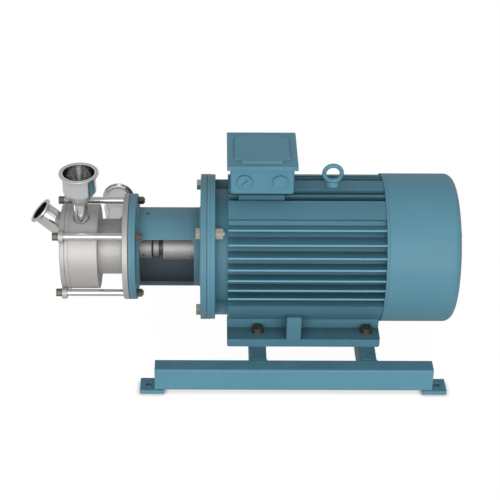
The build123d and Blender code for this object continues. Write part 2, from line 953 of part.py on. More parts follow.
def cable_entry_plugs():
    """A round plug with a screwdriver slot on the left, a hex headed one on the right."""
    length = box_wall + plug_proud
    wide = plug_radius - seat_gap
    slotted_plug = upright([
        (0, 0), (wide, 0), (wide, length - rim_chamfer), (wide - rim_chamfer, length), (0, length)])
    slot = Pos(0, 0, length) * Rot(0, 0, 45) * Box(
        1.2 * plug_radius, plug_slot, 2 * plug_slot_depth)
    hex_plug = Cylinder(plug_thread_radius - seat_gap, box_wall, align=low_align)
    hex_plug = hex_plug + Pos(0, 0, box_wall) * Rot(0, 0, 30) * hex_head(plug_proud, plug_flats)
    shapes = (slotted_plug - slot, hex_plug)
    inside = -box_width / 2 + box_wall
    return [
        Pos(x, inside, z) * Rot(90, 0, 0) * shape
        for (x, z), shape in zip(plug_places(), shapes)]


def terminal_gasket():
    half = box_width / 2 - 1
    inner = half - box_wall
    gasket = block((box_centre - half, -half, box_top), (box_centre + half, half, lid_bottom))
    gasket = gasket - block(
        (box_centre - inner, -inner, box_top - 1), (box_centre + inner, inner, lid_bottom + 1))
    for x, y in box_corners(lid_screw_inset):
        gasket = gasket + post(x, y, box_top, lid_bottom, lid_screw)
    for x, y in box_corners(lid_screw_inset):
        gasket = gasket - post(x, y, box_top - 1, lid_bottom + 1, lid_screw / 2 + seat_gap)
    return gasket


def terminal_cover():
    half = lid_width / 2
    lid = block((box_centre - half, -half, lid_bottom), (box_centre + half, half, lid_top))
    lid = fillet(lid.edges().filter_by(Axis.Z), 2)
    lid = chamfer(lid.edges().group_by(Axis.Z)[-1], lid_chamfer)
    panel = Rectangle(panel_width, panel_width)
    for i in (-1, 1):
        for j in (-1, 1):
            panel -= Pos(i * panel_width / 2, j * panel_width / 2) * Circle(panel_notch)
    panel = Plane.XY.offset(lid_top) * Pos(box_centre, 0) * panel
    raised = extrude(panel, panel_height, taper=panel_taper)
    lid = lid + raised
    inner = box_width / 2 - 2 * box_wall
    lid = lid - block(
        (box_centre - inner, -inner, lid_bottom - 1), (box_centre + inner, inner, lid_top - 3))
    for x, y in box_corners(lid_screw_inset):
        lid = lid - post(x, y, lid_bottom - 1, lid_top + 1, lid_screw / 2 + seat_gap)
        lid = lid - post(x, y, lid_top - lid_screw * 0.6, lid_top + 1, lid_screw + seat_gap)
    return lid


def terminal_cover_screws():
    head = lid_screw * 0.6
    grip = lid_thickness - head + gasket_thickness + 2 * lid_screw
    screw = socket_screw(lid_screw, lid_screw, head, grip)
    return [Pos(x, y, lid_top - head) * screw for x, y in box_corners(lid_screw_inset)]


def terminal_block():
    floor = box_bottom + box_wall
    top = floor + terminal_block_height
    half = terminal_block_length / 2
    body = block(
        (box_centre - half, terminal_block_front, floor),
        (box_centre + half, terminal_block_front + terminal_block_depth, top))
    middle = terminal_block_front + terminal_block_depth / 2
    for i in (-1, 0, 1):
        for j in (-1, 1):
            x = box_centre + i * terminal_pitch
            y = middle + j * terminal_row / 2
            body = body + post(x, y, top - 1, top + terminal_stud_height, terminal_stud / 2)
    return body


# Lifting eye

def eyebolt():
    bottom = frame_radius
    collar = upright([
        (0, bottom), (eye_collar_radius, bottom), (eye_collar_radius, bottom + 4),
        (eye_collar_radius * 0.6, bottom + eye_collar_height), (0, bottom + eye_collar_height)])
    shank = post(0, 0, bottom - eye_shank_length, bottom + 1, eye_shank_radius)
    centre = bottom + eye_collar_height + eye_ring_radius
    eye = Pos(0, 0, centre) * Rot(90, 0, 0) * Torus(eye_ring_radius, eye_wire_radius)
    return Pos(eye_x, 0, 0) * (collar + shank + eye)


# Joint between lantern and motor

def flange_bolts():
    bolt = hex_bolt(flange_bolt, lantern_rear_flange + bolt_reach)
    places = circle_places(flange_bolt_circle, quarter_turns)
    return [lying(bolt, -lantern_rear_flange, y, z, -90) for y, z in places]


def flange_nut():
    nut = hex_nut(flange_bolt, neck_nut_length)
    places = circle_places(flange_bolt_circle, nut_turns)
    return [lying(nut, flange_thickness, y, z) for y, z in places]


def lantern():
    inner = lantern_radius - lantern_wall
    front = wet_face + lantern_front_flange
    back = -lantern_rear_flange
    body = turned([
        (wet_face, wet_spigot_radius + slip),
        (wet_face, wet_flange_radius - rim_chamfer),
        (wet_face + rim_chamfer, wet_flange_radius),
        (front - rim_chamfer, wet_flange_radius),
        (front, wet_flange_radius - rim_chamfer),
        (front, lantern_radius + lantern_fillet),
        (front + lantern_fillet, lantern_radius),
        (back - lantern_fillet, lantern_radius),
        (back, lantern_radius + lantern_fillet),
        (back, flange_radius - rim_chamfer),
        (back + rim_chamfer, flange_radius),
        (-rim_chamfer, flange_radius),
        (0, flange_radius - rim_chamfer),
        (0, spigot_radius + seat_gap),
        (-spigot_length - 1, spigot_radius + seat_gap),
        (-spigot_length - 1, inner),
        (wet_face + lantern_front_wall, inner),
        (wet_face + lantern_front_wall, wet_spigot_radius + slip),
    ])
    width = window_end - window_start
    middle = -(window_end + window_start) / 2
    window = RectangleRounded(width, window_top + window_bottom, window_corner)
    window = Pos(middle, (window_top - window_bottom) / 2) * window
    body = body - extrude(Plane.XZ * window, flange_radius)
    body = body - post(-vent_x, 0, inner - 5, lantern_radius + 5, vent_hole / 2)
    bolt_hole = rod(back - 1, 1, flange_bolt / 2 + bolt_clearance)
    body = with_holes(body, bolt_hole, flange_bolt_circle, quarter_turns)
    rod_hole = rod(wet_face - 1, front + 1, tie_rod / 2 + bolt_clearance / 2)
    return with_holes(body, rod_hole, tie_circle, quarter_turns)


# Wet end

def disperser_housing():
    cavity_back = wet_flange_face + 2
    shoulder = seat_back
    front_pocket = housing_bore + 4
    body = turned([
        (housing_front, front_pocket + seat_gap),
        (housing_front, housing_radius),
        (wet_flange_face - 1, housing_radius),
        (wet_flange_face, housing_radius + 1),
        (wet_flange_face, wet_flange_radius - rim_chamfer),
        (wet_flange_face + rim_chamfer, wet_flange_radius),
        (wet_face - rim_chamfer, wet_flange_radius),
        (wet_face, wet_flange_radius - rim_chamfer),
        (wet_face, wet_spigot_radius),
        (wet_face + wet_spigot_length, wet_spigot_radius),
        (wet_face + wet_spigot_length, seal_shoulder),
        (shoulder, seal_shoulder),
        (shoulder, seat_outer + slip),
        (cavity_back, seat_outer + slip),
        (cavity_back, housing_bore),
        (stator_face, housing_bore),
        (stator_face, front_pocket + seat_gap),
    ])
    middle = (housing_front + wet_flange_face) / 2
    hole = Pos(middle, 0, 0) * Rot(-90, 0, 0) * Cylinder(
        outlet_neck / 2 - tube_wall, housing_radius + 10, align=low_align)
    rod_hole = rod(wet_flange_face - 1, wet_face + 1, tie_rod / 2 + bolt_clearance / 2)
    return with_holes(body - hole, rod_hole, tie_circle, quarter_turns)


def outlet_port():
    middle = (housing_front + wet_flange_face) / 2
    port = clamp_port(
        outlet_rim, outlet_tube, outlet_end, outlet_straight, outlet_cone, outlet_neck,
        housing_radius * 0.8)
    port = Pos(middle, 0, 0) * Rot(-90, 0, 0) * port
    port = port - rod(housing_front, wet_flange_face, housing_radius + seat_gap)
    return port.solids().sort_by(Axis.Y)[-1]


def feed_chamber():
    back = housing_front
    inner = chamber_radius - chamber_wall
    rim = chamber_radius + chamber_rim
    body = turned([
        (chamber_front, inner),
        (chamber_front, rim - small_chamfer),
        (chamber_front + small_chamfer, rim),
        (chamber_front + chamber_rim_length, rim),
        (chamber_front + chamber_rim_length, chamber_radius),
        (back - small_chamfer, chamber_radius),
        (back, chamber_radius - small_chamfer),
        (back, chamber_eye),
        (back - chamber_back_wall, chamber_eye),
        (back - chamber_back_wall, inner),
    ])
    body = body - post(-funnel_x, funnel_y, 0, chamber_radius + 5, funnel_neck / 2 - tube_wall)
    return body - ring_groove(back, -1, housing_ring_radius)


def ring_groove(face, into, radius):
    depth = ring_section - ring_squeeze - seat_gap
    low, high = sorted((face, face + into * depth))
    width = ring_section / 2 + seat_gap * 2
    return ring(low, high, radius + width, radius - width)


def seal_ring_in_groove(face, into, radius):
    """Squeezed O-ring: a flat sided ring that fills its groove up to the face."""
    depth = ring_section - ring_squeeze - 2 * seat_gap
    low, high = sorted((face, face + into * depth))
    side = ring_section / 2
    cut = ring_section / 4
    return turned([
        (low, radius - side + cut), (low, radius + side - cut), (low + cut, radius + side),
        (high - cut, radius + side), (high, radius + side - cut), (high, radius - side + cut),
        (high - cut, radius - side), (low + cut, radius - side)])


def powder_inlet():
    port = clamp_port(
        funnel_rim, funnel_tube, funnel_top, funnel_straight, funnel_cone, funnel_neck,
        chamber_radius * 0.8)
    port = Pos(-funnel_x, funnel_y, 0) * port
    port = port - rod(chamber_front, housing_front, chamber_radius + seat_gap)
    return port.solids().sort_by(Axis.Z)[-1]


def inlet_frame():
    """Location of the angled port: its Z runs out of the cover along the port."""
    return Pos(cover_face, 0, inlet_foot_height) * Rot(0, inlet_angle - 90, 0)


def inlet_root_bore():
    """The wider hole through the cover and the root of the angled tube."""
    radius = inlet_tube / 2 - tube_wall + inlet_relief
    return Pos(0, 0, -inlet_tube) * Cylinder(
        radius, inlet_tube + inlet_root_length, align=low_align)


def liquid_inlet():
    length = inlet_length + inlet_tube
    port = clamp_port(inlet_rim, inlet_tube, inlet_length, length)
    port = inlet_frame() * (port - inlet_root_bore())
    reach = 4 * inlet_tube
    behind = block((cover_face, -reach, -reach), (cover_face + reach, reach, reach))
    return port - behind


def front_cover():
    rim = chamber_radius + chamber_rim
    cover = turned([
        (cover_face, 0), (cover_face, rim - rim_chamfer), (cover_face + rim_chamfer, rim),
        (chamber_front - small_chamfer, rim), (chamber_front, rim - small_chamfer), (chamber_front, 0)])
    for y, z in circle_places(tie_circle, quarter_turns):
        cover = cover + Pos(0, y, z) * rod(cover_face, chamber_front, lug_radius)
    rod_hole = rod(cover_face - 1, chamber_front + 1, tie_rod / 2 + bolt_clearance / 2)
    cover = with_holes(cover, rod_hole, tie_circle, quarter_turns)
    cover = cover - inlet_frame() * inlet_root_bore()
    return cover - ring_groove(chamber_front, -1, cover_ring_radius)


def tie_rods():
    head_seat = cover_face - washer_thickness
    grip = wet_face + lantern_front_flange + tie_nut_length + tie_end - head_seat
    screw = socket_screw(tie_rod, tie_rod * 0.75, tie_head_length, grip)
    pieces = []
    for y, z in circle_places(tie_circle, quarter_turns):
        pieces.append(lying(screw, head_seat, y, z, -90))
        pieces.append(lying(small_washer(), cover_face, y, z, -90))
    return pieces


def small_washer():
    disc = Cylinder(tie_rod * 0.83, washer_thickness, align=low_align)
    return disc - Cylinder(tie_rod / 2 + seat_gap, washer_thickness, align=low_align)


def tie_rod_nuts():
    seat = wet_face + lantern_front_flange
    nut = hex_nut(tie_rod, tie_nut_length)
    return [lying(nut, seat, y, z) for y, z in circle_places(tie_circle, quarter_turns)]


def spacer_tubes():
    tube = ring(chamber_front, wet_flange_face, spacer_radius, tie_rod / 2 + bolt_clearance / 2)
    return [Pos(0, y, z) * tube for y, z in circle_places(tie_circle, quarter_turns)]


# Dispersing tools

def stator_ring():
    outer = stator_ring_radius + stator_ring_wall
    tool_end = stator_face + tool_length
    rotor_root = rotor_tip_radius - rotor_ring_wall
    inner_outer = rotor_root - tooth_gap
    inner_inner = inner_outer - stator_inner_wall
    plate = ring(housing_front, stator_face, housing_bore + 4, stator_eye)
    rows = ring(stator_face - 1, tool_end, outer, stator_ring_radius)
    rows = rows + ring(stator_face - 1, tool_end - rotor_disc, inner_outer, inner_inner)
    body = plate + rows
    cut_start = stator_face + tooth_root
    body = slotted(
        body, stator_slots, stator_slot_width, cut_start, tool_end + 1,
        stator_ring_radius - tooth_gap / 2, outer + 1)
    return slotted(
        body, stator_inner_slots, stator_slot_width, cut_start, tool_end + 1,
        inner_inner - tooth_gap / 2, inner_outer + tooth_gap / 2)


def rotor_head():
    disc_face = rotor_back - rotor_disc
    root = rotor_tip_radius - rotor_ring_wall
    inner_outer = root - 2 * tooth_gap - stator_inner_wall
    inner_inner = inner_outer - rotor_inner_wall
    bore = stub_seat_radius + slip
    body = ring(impeller_back, rotor_back, rotor_hub_radius, bore)
    body = body + ring(disc_face, rotor_back, rotor_tip_radius, rotor_hub_radius - 1)
    body = body + ring(rotor_front, rotor_back, rotor_tip_radius, root)
    body = body + ring(rotor_front, rotor_back, inner_outer, inner_inner)
    cut_end = disc_face - tooth_root / 2
    body = slotted(
        body, rotor_slots, rotor_slot_width, rotor_front - 1, cut_end,
        root - tooth_gap / 2, rotor_tip_radius + 1)
    return slotted(
        body, rotor_inner_slots, rotor_slot_width, rotor_front - 1, cut_end,
        inner_inner - tooth_gap / 2, inner_outer + tooth_gap / 2)


def premix_impeller():
    hub = ring(impeller_front, impeller_back, rotor_hub_radius, stub_seat_radius + slip)
    middle = (impeller_front + impeller_back) / 2
    blade = Pos(middle, 0, impeller_radius / 2 + stub_seat_radius / 2 + 2) * Rot(
        0, 0, impeller_pitch) * Box(
        impeller_blade_width, impeller_blade, impeller_radius - stub_seat_radius)
    body = hub
    for k in range(impeller_blades):
        body = body + around(blade, 360 / impeller_blades * k)
    return body & ring(
        impeller_front - impeller_blade_width, impeller_back + impeller_blade_width,
        impeller_radius, stub_seat_radius + slip)


def impeller_nut():
    end = impeller_front
    dome = turned([
        (end, 0), (end, nut_radius), (end - nut_length / 2, nut_radius),
        (end - nut_length * 0.85, nut_radius * 0.7), (end - nut_length, nut_radius * 0.3),
        (end - nut_length, 0)])
    return dome - rod(end - nut_length * 0.7, end + 1, stud_end_radius + slip)


# Stub shaft, seal and the pieces in the window

def stub_shaft():
    thread_end = impeller_front - nut_length * 0.7 + 1
    shaft = turned([
        (thread_end, 0), (thread_end, stud_end_radius), (impeller_front, stud_end_radius),
        (impeller_front, stub_seat_radius), (rotor_back, stub_seat_radius),
        (rotor_back, stub_seal_radius), (wet_face + 2, stub_seal_radius),
        (wet_face + 2, stub_neck_radius), (-sleeve_end, stub_neck_radius),
        (-sleeve_end, sleeve_radius), (-sleeve_start, sleeve_radius),
        (-sleeve_start, shaft_end_radius + slip), (-sleeve_bore_end, shaft_end_radius + slip),
        (-sleeve_bore_end, 0)])
    start, end = key_span()
    slot = block(
        (start - 2, -key_width / 2, shaft_end_radius / 2),
        (-sleeve_start + 1, key_width / 2, shaft_end_radius - key_depth + key_height + seat_gap))
    keyed = slot - rod(-sleeve_bore_end, 0, shaft_end_radius - 1)
    shaft = shaft - keyed
    return shaft - grub_hole(grub_place_sleeve(), shaft_end_radius - 1, sleeve_radius + 1)


def grub_place_sleeve():
    return -sleeve_start - grub_from_end


def grub_place_collar():
    return -(collar_start + 2 * collar_end) / 3


def grub_hole(x, inner, outer):
    """Radial hole at the front of the shaft, drawn up and turned to its angle."""
    hole = post(x, 0, inner, outer, grub / 2 + seat_gap)
    return around(hole, 90 - grub_angle)


def grub_screws():
    pieces = []
    for x, surface in ((grub_place_sleeve(), sleeve_radius), (grub_place_collar(), collar_radius)):
        top = surface - grub_recess
        screw = post(x, 0, top - grub_length, top, grub / 2)
        screw = screw - Pos(x, 0, top - grub_length / 3) * hex_bar(grub_length, grub / 2)
        pieces.append(around(screw, 90 - grub_angle))
    return pieces


def seal_collar():
    collar = ring(-collar_end, -collar_start, collar_radius, stub_neck_radius + slip)
    return collar - grub_hole(grub_place_collar(), stub_neck_radius - 1, collar_radius + 1)


def splash_ring():
    return turned([
        (-splash_end, stub_neck_radius + slip), (-splash_end, splash_radius),
        (-splash_start, splash_radius), (-splash_start, stub_neck_radius + slip)])


def seal_seat():
    return ring(seat_face, seat_back, seat_outer, seat_inner)


def seal_face_ring():
    start = face_ring_front
    end = start + face_ring_length
    return turned([
        (start, stub_seal_radius + slip), (start, face_ring_radius),
        (end - 2, face_ring_radius), (end, face_ring_radius - 2),
        (end, stub_seal_radius + slip)])


def seal_bellows():
    start = rotor_back
    end = face_ring_front
    fold = (end - start) / (2 * bellows_folds)
    points = [(start, stub_seal_radius + slip), (start, bellows_radius)]
    for k in range(1, 2 * bellows_folds):
        radius = bellows_radius - bellows_fold_depth * (k % 2)
        points.append((start + fold * k, radius))
    points += [(end, bellows_radius), (end, stub_seal_radius + slip)]
    return turned(points)


# Writing the pieces

def place(shape):
    """From shaft coordinates to the floor, midway between the anchor holes."""
    return Pos(-rail_centre, 0, -floor_level) * shape


def save(name, pieces):
    solids = []
    for piece in pieces if isinstance(pieces, list) else [pieces]:
        solids.extend(place(piece).solids())
    body = solids[0] if len(solids) == 1 else Compound(children=solids)
    export_step(body, os.path.join("parts", name + ".step"))


def main():
    os.makedirs("parts", exist_ok=True)
    save("front_rail", rail(-rail_y))
    save("rear_rail", rail(rail_y))
    save("drive_end_beam", cross_beam(foot_holes_x[0]))
    save("fan_end_beam", cross_beam(foot_holes_x[1]))
    save("rail_end_caps", rail_end_caps())
    save("anchor_pads", anchor_pads())
    save("front_foot", motor_foot(-1))
    save("rear_foot", motor_foot(1))
    save("foot_bolts", foot_bolts())
    save("foot_nuts", foot_nuts())
    save("stator_frame", stator_frame())
    save("drive_end_shield", drive_end_shield())
    save("fan_end_shield", fan_end_shield())
    save("shield_screws", shield_screws())
    save("fan_cowl", fan_cowl())
    save("cowl_studs", cowl_studs())
    save("cowl_screws", cowl_screws())
    save("cooling_fan", cooling_fan())
    save("drive_end_bearing_outer", bearing_outer(drive_bearing))
    save("drive_end_bearing_inner", bearing_inner(drive_bearing))
    save("fan_end_bearing_outer", bearing_outer(fan_bearing))
    save("fan_end_bearing_inner", bearing_inner(fan_bearing))
    save("oil_seal", oil_seal())
    save("stator_core", stator_core())
    save("stator_windings", stator_windings())
    save("rotor_core", rotor_core())
    save("motor_shaft", motor_shaft())
    save("shaft_key", shaft_key())
    save("terminal_box_base", terminal_box_base())
    save("terminal_gasket", terminal_gasket())
    save("terminal_cover", terminal_cover())
    save("terminal_cover_screws", terminal_cover_screws())
    save("terminal_block", terminal_block())
    save("cable_entry_plugs", cable_entry_plugs())
    save("eyebolt", eyebolt())
    save("flange_bolts", flange_bolts())
    save("flange_nut", flange_nut())
    save("lantern", lantern())
    save("disperser_housing", disperser_housing())
    save("outlet_port", outlet_port())
    save("feed_chamber", feed_chamber())
    save("chamber_oring", seal_ring_in_groove(housing_front, -1, housing_ring_radius))
    save("powder_inlet", powder_inlet())
    save("front_cover", front_cover())
    save("cover_oring", seal_ring_in_groove(chamber_front, -1, cover_ring_radius))
    save("liquid_inlet", liquid_inlet())
    save("tie_rods", tie_rods())
    save("tie_rod_nuts", tie_rod_nuts())
    save("spacer_tubes", spacer_tubes())
    save("stator_ring", stator_ring())
    save("rotor_head", rotor_head())
    save("premix_impeller", premix_impeller())
    save("impeller_nut", impeller_nut())
    save("stub_shaft", stub_shaft())
    save("grub_screws", grub_screws())
    save("seal_collar", seal_collar())
    save("splash_ring", splash_ring())
    save("seal_seat", seal_seat())
    save("seal_face_ring", seal_face_ring())
    save("seal_bellows", seal_bellows())


main()
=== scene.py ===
# %% [markdown]
# # Dressing an inline disperser
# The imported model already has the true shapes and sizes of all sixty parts. This file gives them
# the paint, the stainless finishes, the welds and the light of the photograph. Everything is in
# metres, with the shaft along X, the floor at Z = 0 and the camera on the -Y side.

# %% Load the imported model
import json
import math

import bmesh
import bpy
from mathutils import Matrix, Vector


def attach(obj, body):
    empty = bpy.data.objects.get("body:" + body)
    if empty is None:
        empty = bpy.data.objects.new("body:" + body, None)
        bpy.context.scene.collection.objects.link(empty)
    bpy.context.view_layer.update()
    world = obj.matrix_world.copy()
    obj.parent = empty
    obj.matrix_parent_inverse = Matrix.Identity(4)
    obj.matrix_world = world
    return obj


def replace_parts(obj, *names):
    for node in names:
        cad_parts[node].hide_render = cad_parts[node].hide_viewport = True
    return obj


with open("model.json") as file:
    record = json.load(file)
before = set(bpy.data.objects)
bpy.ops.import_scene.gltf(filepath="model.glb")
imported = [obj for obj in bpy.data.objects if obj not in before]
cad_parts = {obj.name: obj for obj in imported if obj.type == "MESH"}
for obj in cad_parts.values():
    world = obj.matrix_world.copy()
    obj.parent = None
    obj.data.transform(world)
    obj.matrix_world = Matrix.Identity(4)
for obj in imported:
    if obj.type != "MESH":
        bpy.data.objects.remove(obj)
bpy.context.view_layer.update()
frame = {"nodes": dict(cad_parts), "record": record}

scene = bpy.context.scene
nodes = frame["nodes"]

# %% [markdown]
# ## One place to measure from
# A maker measures this machine in millimetres, from the shaft's line and from the face where the
# motor's flange starts. The model's own zero is on the floor, midway between the anchor holes. The
# camera, the shaders and the new pieces could each repeat the offset between the two. It is named
# once instead, so that they can't disagree.

# %% Name the shaft's place
mm_per_metre = 1000.0
shaft_rise = 244.0
flange_offset = 200.0
shaft_height = shaft_rise / mm_per_metre
print("the shaft lies", shaft_height, "m above the floor")

# %% [markdown]
# ## Camera
# The photograph looks down on the machine by 34 degrees, square to the shaft. Its perspective is
# weak: a lens of 97 mm on a 36 mm sensor, a little over three metres away. The aim point sits on
# the shaft line. The small shift puts that point left of the middle, as in the photograph. A
# camera could also be placed by eye in the viewport. Reckoning its place from aim, angle and
# distance lets each of them be changed alone.

# %% Place the camera
aim = Vector((-0.1771, 0.0, shaft_height))
look_down = math.radians(34.0)
camera_roll = math.radians(0.2)
camera_distance = 3.186
camera_data = bpy.data.cameras.new("camera")
camera_data.lens = 97.2
camera_data.sensor_width = 36.0
camera_data.shift_x = 0.066
camera_data.shift_y = -0.007
camera_data.clip_end = 50.0
camera = bpy.data.objects.new("camera", camera_data)
camera.location = aim + camera_distance * Vector((0, -math.cos(look_down), math.sin(look_down)))
level = Matrix.Rotation(math.radians(90.0) - look_down, 4, "X")
camera.rotation_euler = (level @ Matrix.Rotation(camera_roll, 4, "Z")).to_euler()
scene.collection.objects.link(camera)
scene.camera = camera
print("camera stands at", [round(value, 3) for value in camera.location])

# %% [markdown]
# ## Floor
# The machine was photographed on plain white. The floor only has to catch a breath of shadow and
# throw light up at the frame. A plane from the menu would do. Here a small grid is built in a
# script, half a millimetre below the feet, so the two faces never flicker through each other.

# %% Lay the floor
floor_half_width = 14.0
floor_drop = 0.0005


def sheet_mesh(name, half_width, half_depth, height):
    """A flat rectangle with a few cells, centred under the machine."""
    builder = bmesh.new()
    bmesh.ops.create_grid(builder, x_segments=4, y_segments=4, size=1.0)
    for vertex in builder.verts:
        vertex.co = Vector((vertex.co.x * half_width, vertex.co.y * half_depth, height))
    mesh = bpy.data.meshes.new(name)
    builder.to_mesh(mesh)
    builder.free()
    thing = bpy.data.objects.new(name, mesh)
    scene.collection.objects.link(thing)
    return thing


floor = sheet_mesh("floor", floor_half_width, floor_half_width, -floor_drop)
print("floor is", floor.dimensions.x, "m wide")

# %% [markdown]
# ## Lamp
# A photographer's softbox is a glowing rectangle, and the wider it is, the softer its shadows. A
# point lamp or a sun would draw hard lines on the paint, which the photograph doesn't have. So one
# weak area lamp hangs low and in front. It gives the shadows a direction, and the surroundings do
# the rest of the lighting.

# %% Set the lamp
lamp_place = (-0.9, -3.4, 0.9)
lamp_target = (0.0, 0.0, 0.25)
lamp_width, lamp_height = 2.6, 1.4
lamp_power = 5.0


def soft_lamp(name, place, target, width, height, power):
    """A rectangular lamp at place that faces target."""
    data = bpy.data.lights.new(name, "AREA")
    data.shape = "RECTANGLE"
    data.size = width
    data.size_y = height
    data.energy = power
    lamp = bpy.data.objects.new(name, data)
    lamp.location = place
    lamp.rotation_euler = (Vector(target) - Vector(place)).to_track_quat("-Z", "Y").to_euler()
    scene.collection.objects.link(lamp)
    return lamp


key_lamp = soft_lamp("key_lamp", lamp_place, lamp_target, lamp_width, lamp_height, lamp_power)
print("lamp at", tuple(key_lamp.location))

# %% [markdown]
# ## Sums in a shader
# A shader is a tree of nodes, and most of its nodes are small sums. In the shader editor each sum
# is a Math node, dragged in and wired by hand. In a script, one helper that makes the node and
# wires its values keeps every formula on a line of its own.

# %% Helper for sums
def calculate(tree, operation, first, second=0.5, third=0.5, clamp=False):
    """A Math node; each of its values is a number or an output socket."""
    node = tree.nodes.new("ShaderNodeMath")
    node.operation = operation
    node.use_clamp = clamp
    for place, value in enumerate((first, second, third)):
        if isinstance(value, (int, float)):
            node.inputs[place].default_value = value
        else:
            tree.links.new(value, node.inputs[place])
    return node.outputs[0]


print("helper calculate is ready")

# %% [markdown]
# ## Surroundings
# The picture was lit by one very broad, low light from the front, with a dim sky above and behind.
# So faces towards the viewer are the lightest, tops are about half as light, and undersides are
# dark. A panorama of a real studio could light the scene too, but it would need a picture file. A
# world whose brightness swells towards the front gives the same even shading from five numbers.

# %% Swell the light towards the front
sky_dim = 0.49
front_glow = 3.88
back_glow = 0.25
glow_focus = 4.0
light_rise = math.radians(3.0)

world = bpy.data.worlds.new("studio")
scene.world = world
world.use_nodes = True
sky = world.node_tree
sky.nodes.clear()
direction = sky.nodes.new("ShaderNodeTexCoord").outputs["Generated"]
towards = sky.nodes.new("ShaderNodeVectorMath")
towards.operation = "DOT_PRODUCT"
sky.links.new(direction, towards.inputs[0])
towards.inputs[1].default_value = (0.0, -math.cos(light_rise), math.sin(light_rise))
facing = calculate(sky, "MAXIMUM", towards.outputs["Value"], 0.0)
opposite = calculate(sky, "MULTIPLY", towards.outputs["Value"], -1.0)
behind = calculate(sky, "MAXIMUM", opposite, 0.0)
rear_lobe = calculate(sky, "POWER", behind, glow_focus)
front_lobe = calculate(sky, "POWER", facing, glow_focus)
rear = calculate(sky, "MULTIPLY_ADD", rear_lobe, back_glow, sky_dim)
glow = calculate(sky, "MULTIPLY_ADD", front_lobe, front_glow, rear)
print("the front glows", round((front_glow + sky_dim) / sky_dim, 1), "times as bright as the sky")

# %% [markdown]
# A mirror finished tube looks like metal only when it has something dark to mirror. In a studio
# that is the edge of the light. Here a darker band near the horizon does it, the same from every
# side. The camera's own rays are told apart by the Light Path node and see plain white, which is
# the photograph's background.

# %% Draw the horizon band
band_height = 0.06
band_slope = 7.0
band_shade = 0.45

split = sky.nodes.new("ShaderNodeSeparateXYZ")
sky.links.new(direction, split.inputs[0])
away = calculate(sky, "ABSOLUTE", calculate(sky, "SUBTRACT", split.outputs["Z"], band_height))
band = calculate(sky, "MULTIPLY_ADD", away, band_slope, band_shade, clamp=True)
shown = calculate(sky, "MULTIPLY", glow, band)
ray = sky.nodes.new("ShaderNodeLightPath").outputs["Is Camera Ray"]
strength = calculate(sky, "MAXIMUM", shown, ray)
backdrop = sky.nodes.new("ShaderNodeBackground")
backdrop.inputs["Color"].default_value = (1.0, 1.0, 1.0, 1.0)
sky_end = sky.nodes.new("ShaderNodeOutputWorld")
sky.links.new(strength, backdrop.inputs["Strength"])
sky.links.new(backdrop.outputs[0], sky_end.inputs["Surface"])
scene.view_settings.view_transform = "Standard"
print("surroundings set, picture shown with", scene.view_settings.view_transform)

# %% [markdown]
# ## Shared shader effects
# The finishes share a few effects: edges that are never perfectly sharp, paint that is a little
# cloudy and pebbled, fine rings from the lathe, and painted shade on what faces up. Each effect
# could be wired anew in every material. As a node group with named sockets it is made once, and
# every material uses it with its own numbers.

# %% Helpers for node groups
FLOAT = "NodeSocketFloat"
VECTOR = "NodeSocketVector"


def start_group(name, inputs, outputs):
    """A new shader group with its sockets; returns the group, its input node and output node."""
    group = bpy.data.node_groups.new(name, "ShaderNodeTree")
    for label, kind, value in inputs:
        socket = group.interface.new_socket(name=label, in_out="INPUT", socket_type=kind)
        socket.default_value = value
    for label, kind in outputs:
        group.interface.new_socket(name=label, in_out="OUTPUT", socket_type=kind)
    return group, group.nodes.new("NodeGroupInput"), group.nodes.new("NodeGroupOutput")


def speckle(tree, vector, scale, detail=3.0, roughness=0.55):
    """A noise texture that reads the given coordinates."""
    node = tree.nodes.new("ShaderNodeTexNoise")
    node.inputs["Detail"].default_value = detail
    node.inputs["Roughness"].default_value = roughness
    if isinstance(scale, (int, float)):
        node.inputs["Scale"].default_value = scale
    else:
        tree.links.new(scale, node.inputs["Scale"])
    tree.links.new(vector, node.inputs["Vector"])
    return node.outputs["Fac"]


def coordinates(tree):
    """The point on the object that is being shaded, split in X, Y and Z."""
    place = tree.nodes.new("ShaderNodeTexCoord")
    parts = tree.nodes.new("ShaderNodeSeparateXYZ")
    tree.links.new(place.outputs["Object"], parts.inputs[0])
    return parts


print("helpers for node groups are ready")

# %% [markdown]
# Every cast, pressed or turned edge is broken by a hair, and that hair catches the light. Bevels
# cut into the mesh would show it too, with many more faces. The Bevel node bends only the normals.
# Where the bent normal leaves the true one there is an edge, which gives a mask for worn paint and
# a painted highlight.

# %% Softened edges
def softened_edges():
    """Normals rounded over at the edges, and a mask that is 1 right on an edge."""
    edge_gain = 5.0
    group, given, result = start_group(
        "softened_edges", [("Radius", FLOAT, 0.0012)], [("Normal", VECTOR), ("Edge", FLOAT)])
    bevel = group.nodes.new("ShaderNodeBevel")
    bevel.samples = 6
    surface = group.nodes.new("ShaderNodeNewGeometry")
    compare = group.nodes.new("ShaderNodeVectorMath")
    compare.operation = "DOT_PRODUCT"
    group.links.new(given.outputs["Radius"], bevel.inputs["Radius"])
    group.links.new(bevel.outputs["Normal"], compare.inputs[0])
    group.links.new(surface.outputs["Normal"], compare.inputs[1])
    turned_away = calculate(group, "SUBTRACT", 1.0, compare.outputs["Value"], clamp=True)
    edge = calculate(group, "MULTIPLY", turned_away, edge_gain, clamp=True)
    group.links.new(bevel.outputs["Normal"], result.inputs["Normal"])
    group.links.new(edge, result.inputs["Edge"])
    return group


edge_group = softened_edges()
print("made", edge_group.name)

# %% [markdown]
# Sprayed enamel is never one flat colour: it drifts a little over a hand's width, and has a skin
# of tiny pebbles. Blasted steel has the same skin, finer. An image could hold both, but would have
# to be unwrapped onto every part. Noise in the object's own coordinates needs no unwrapping.

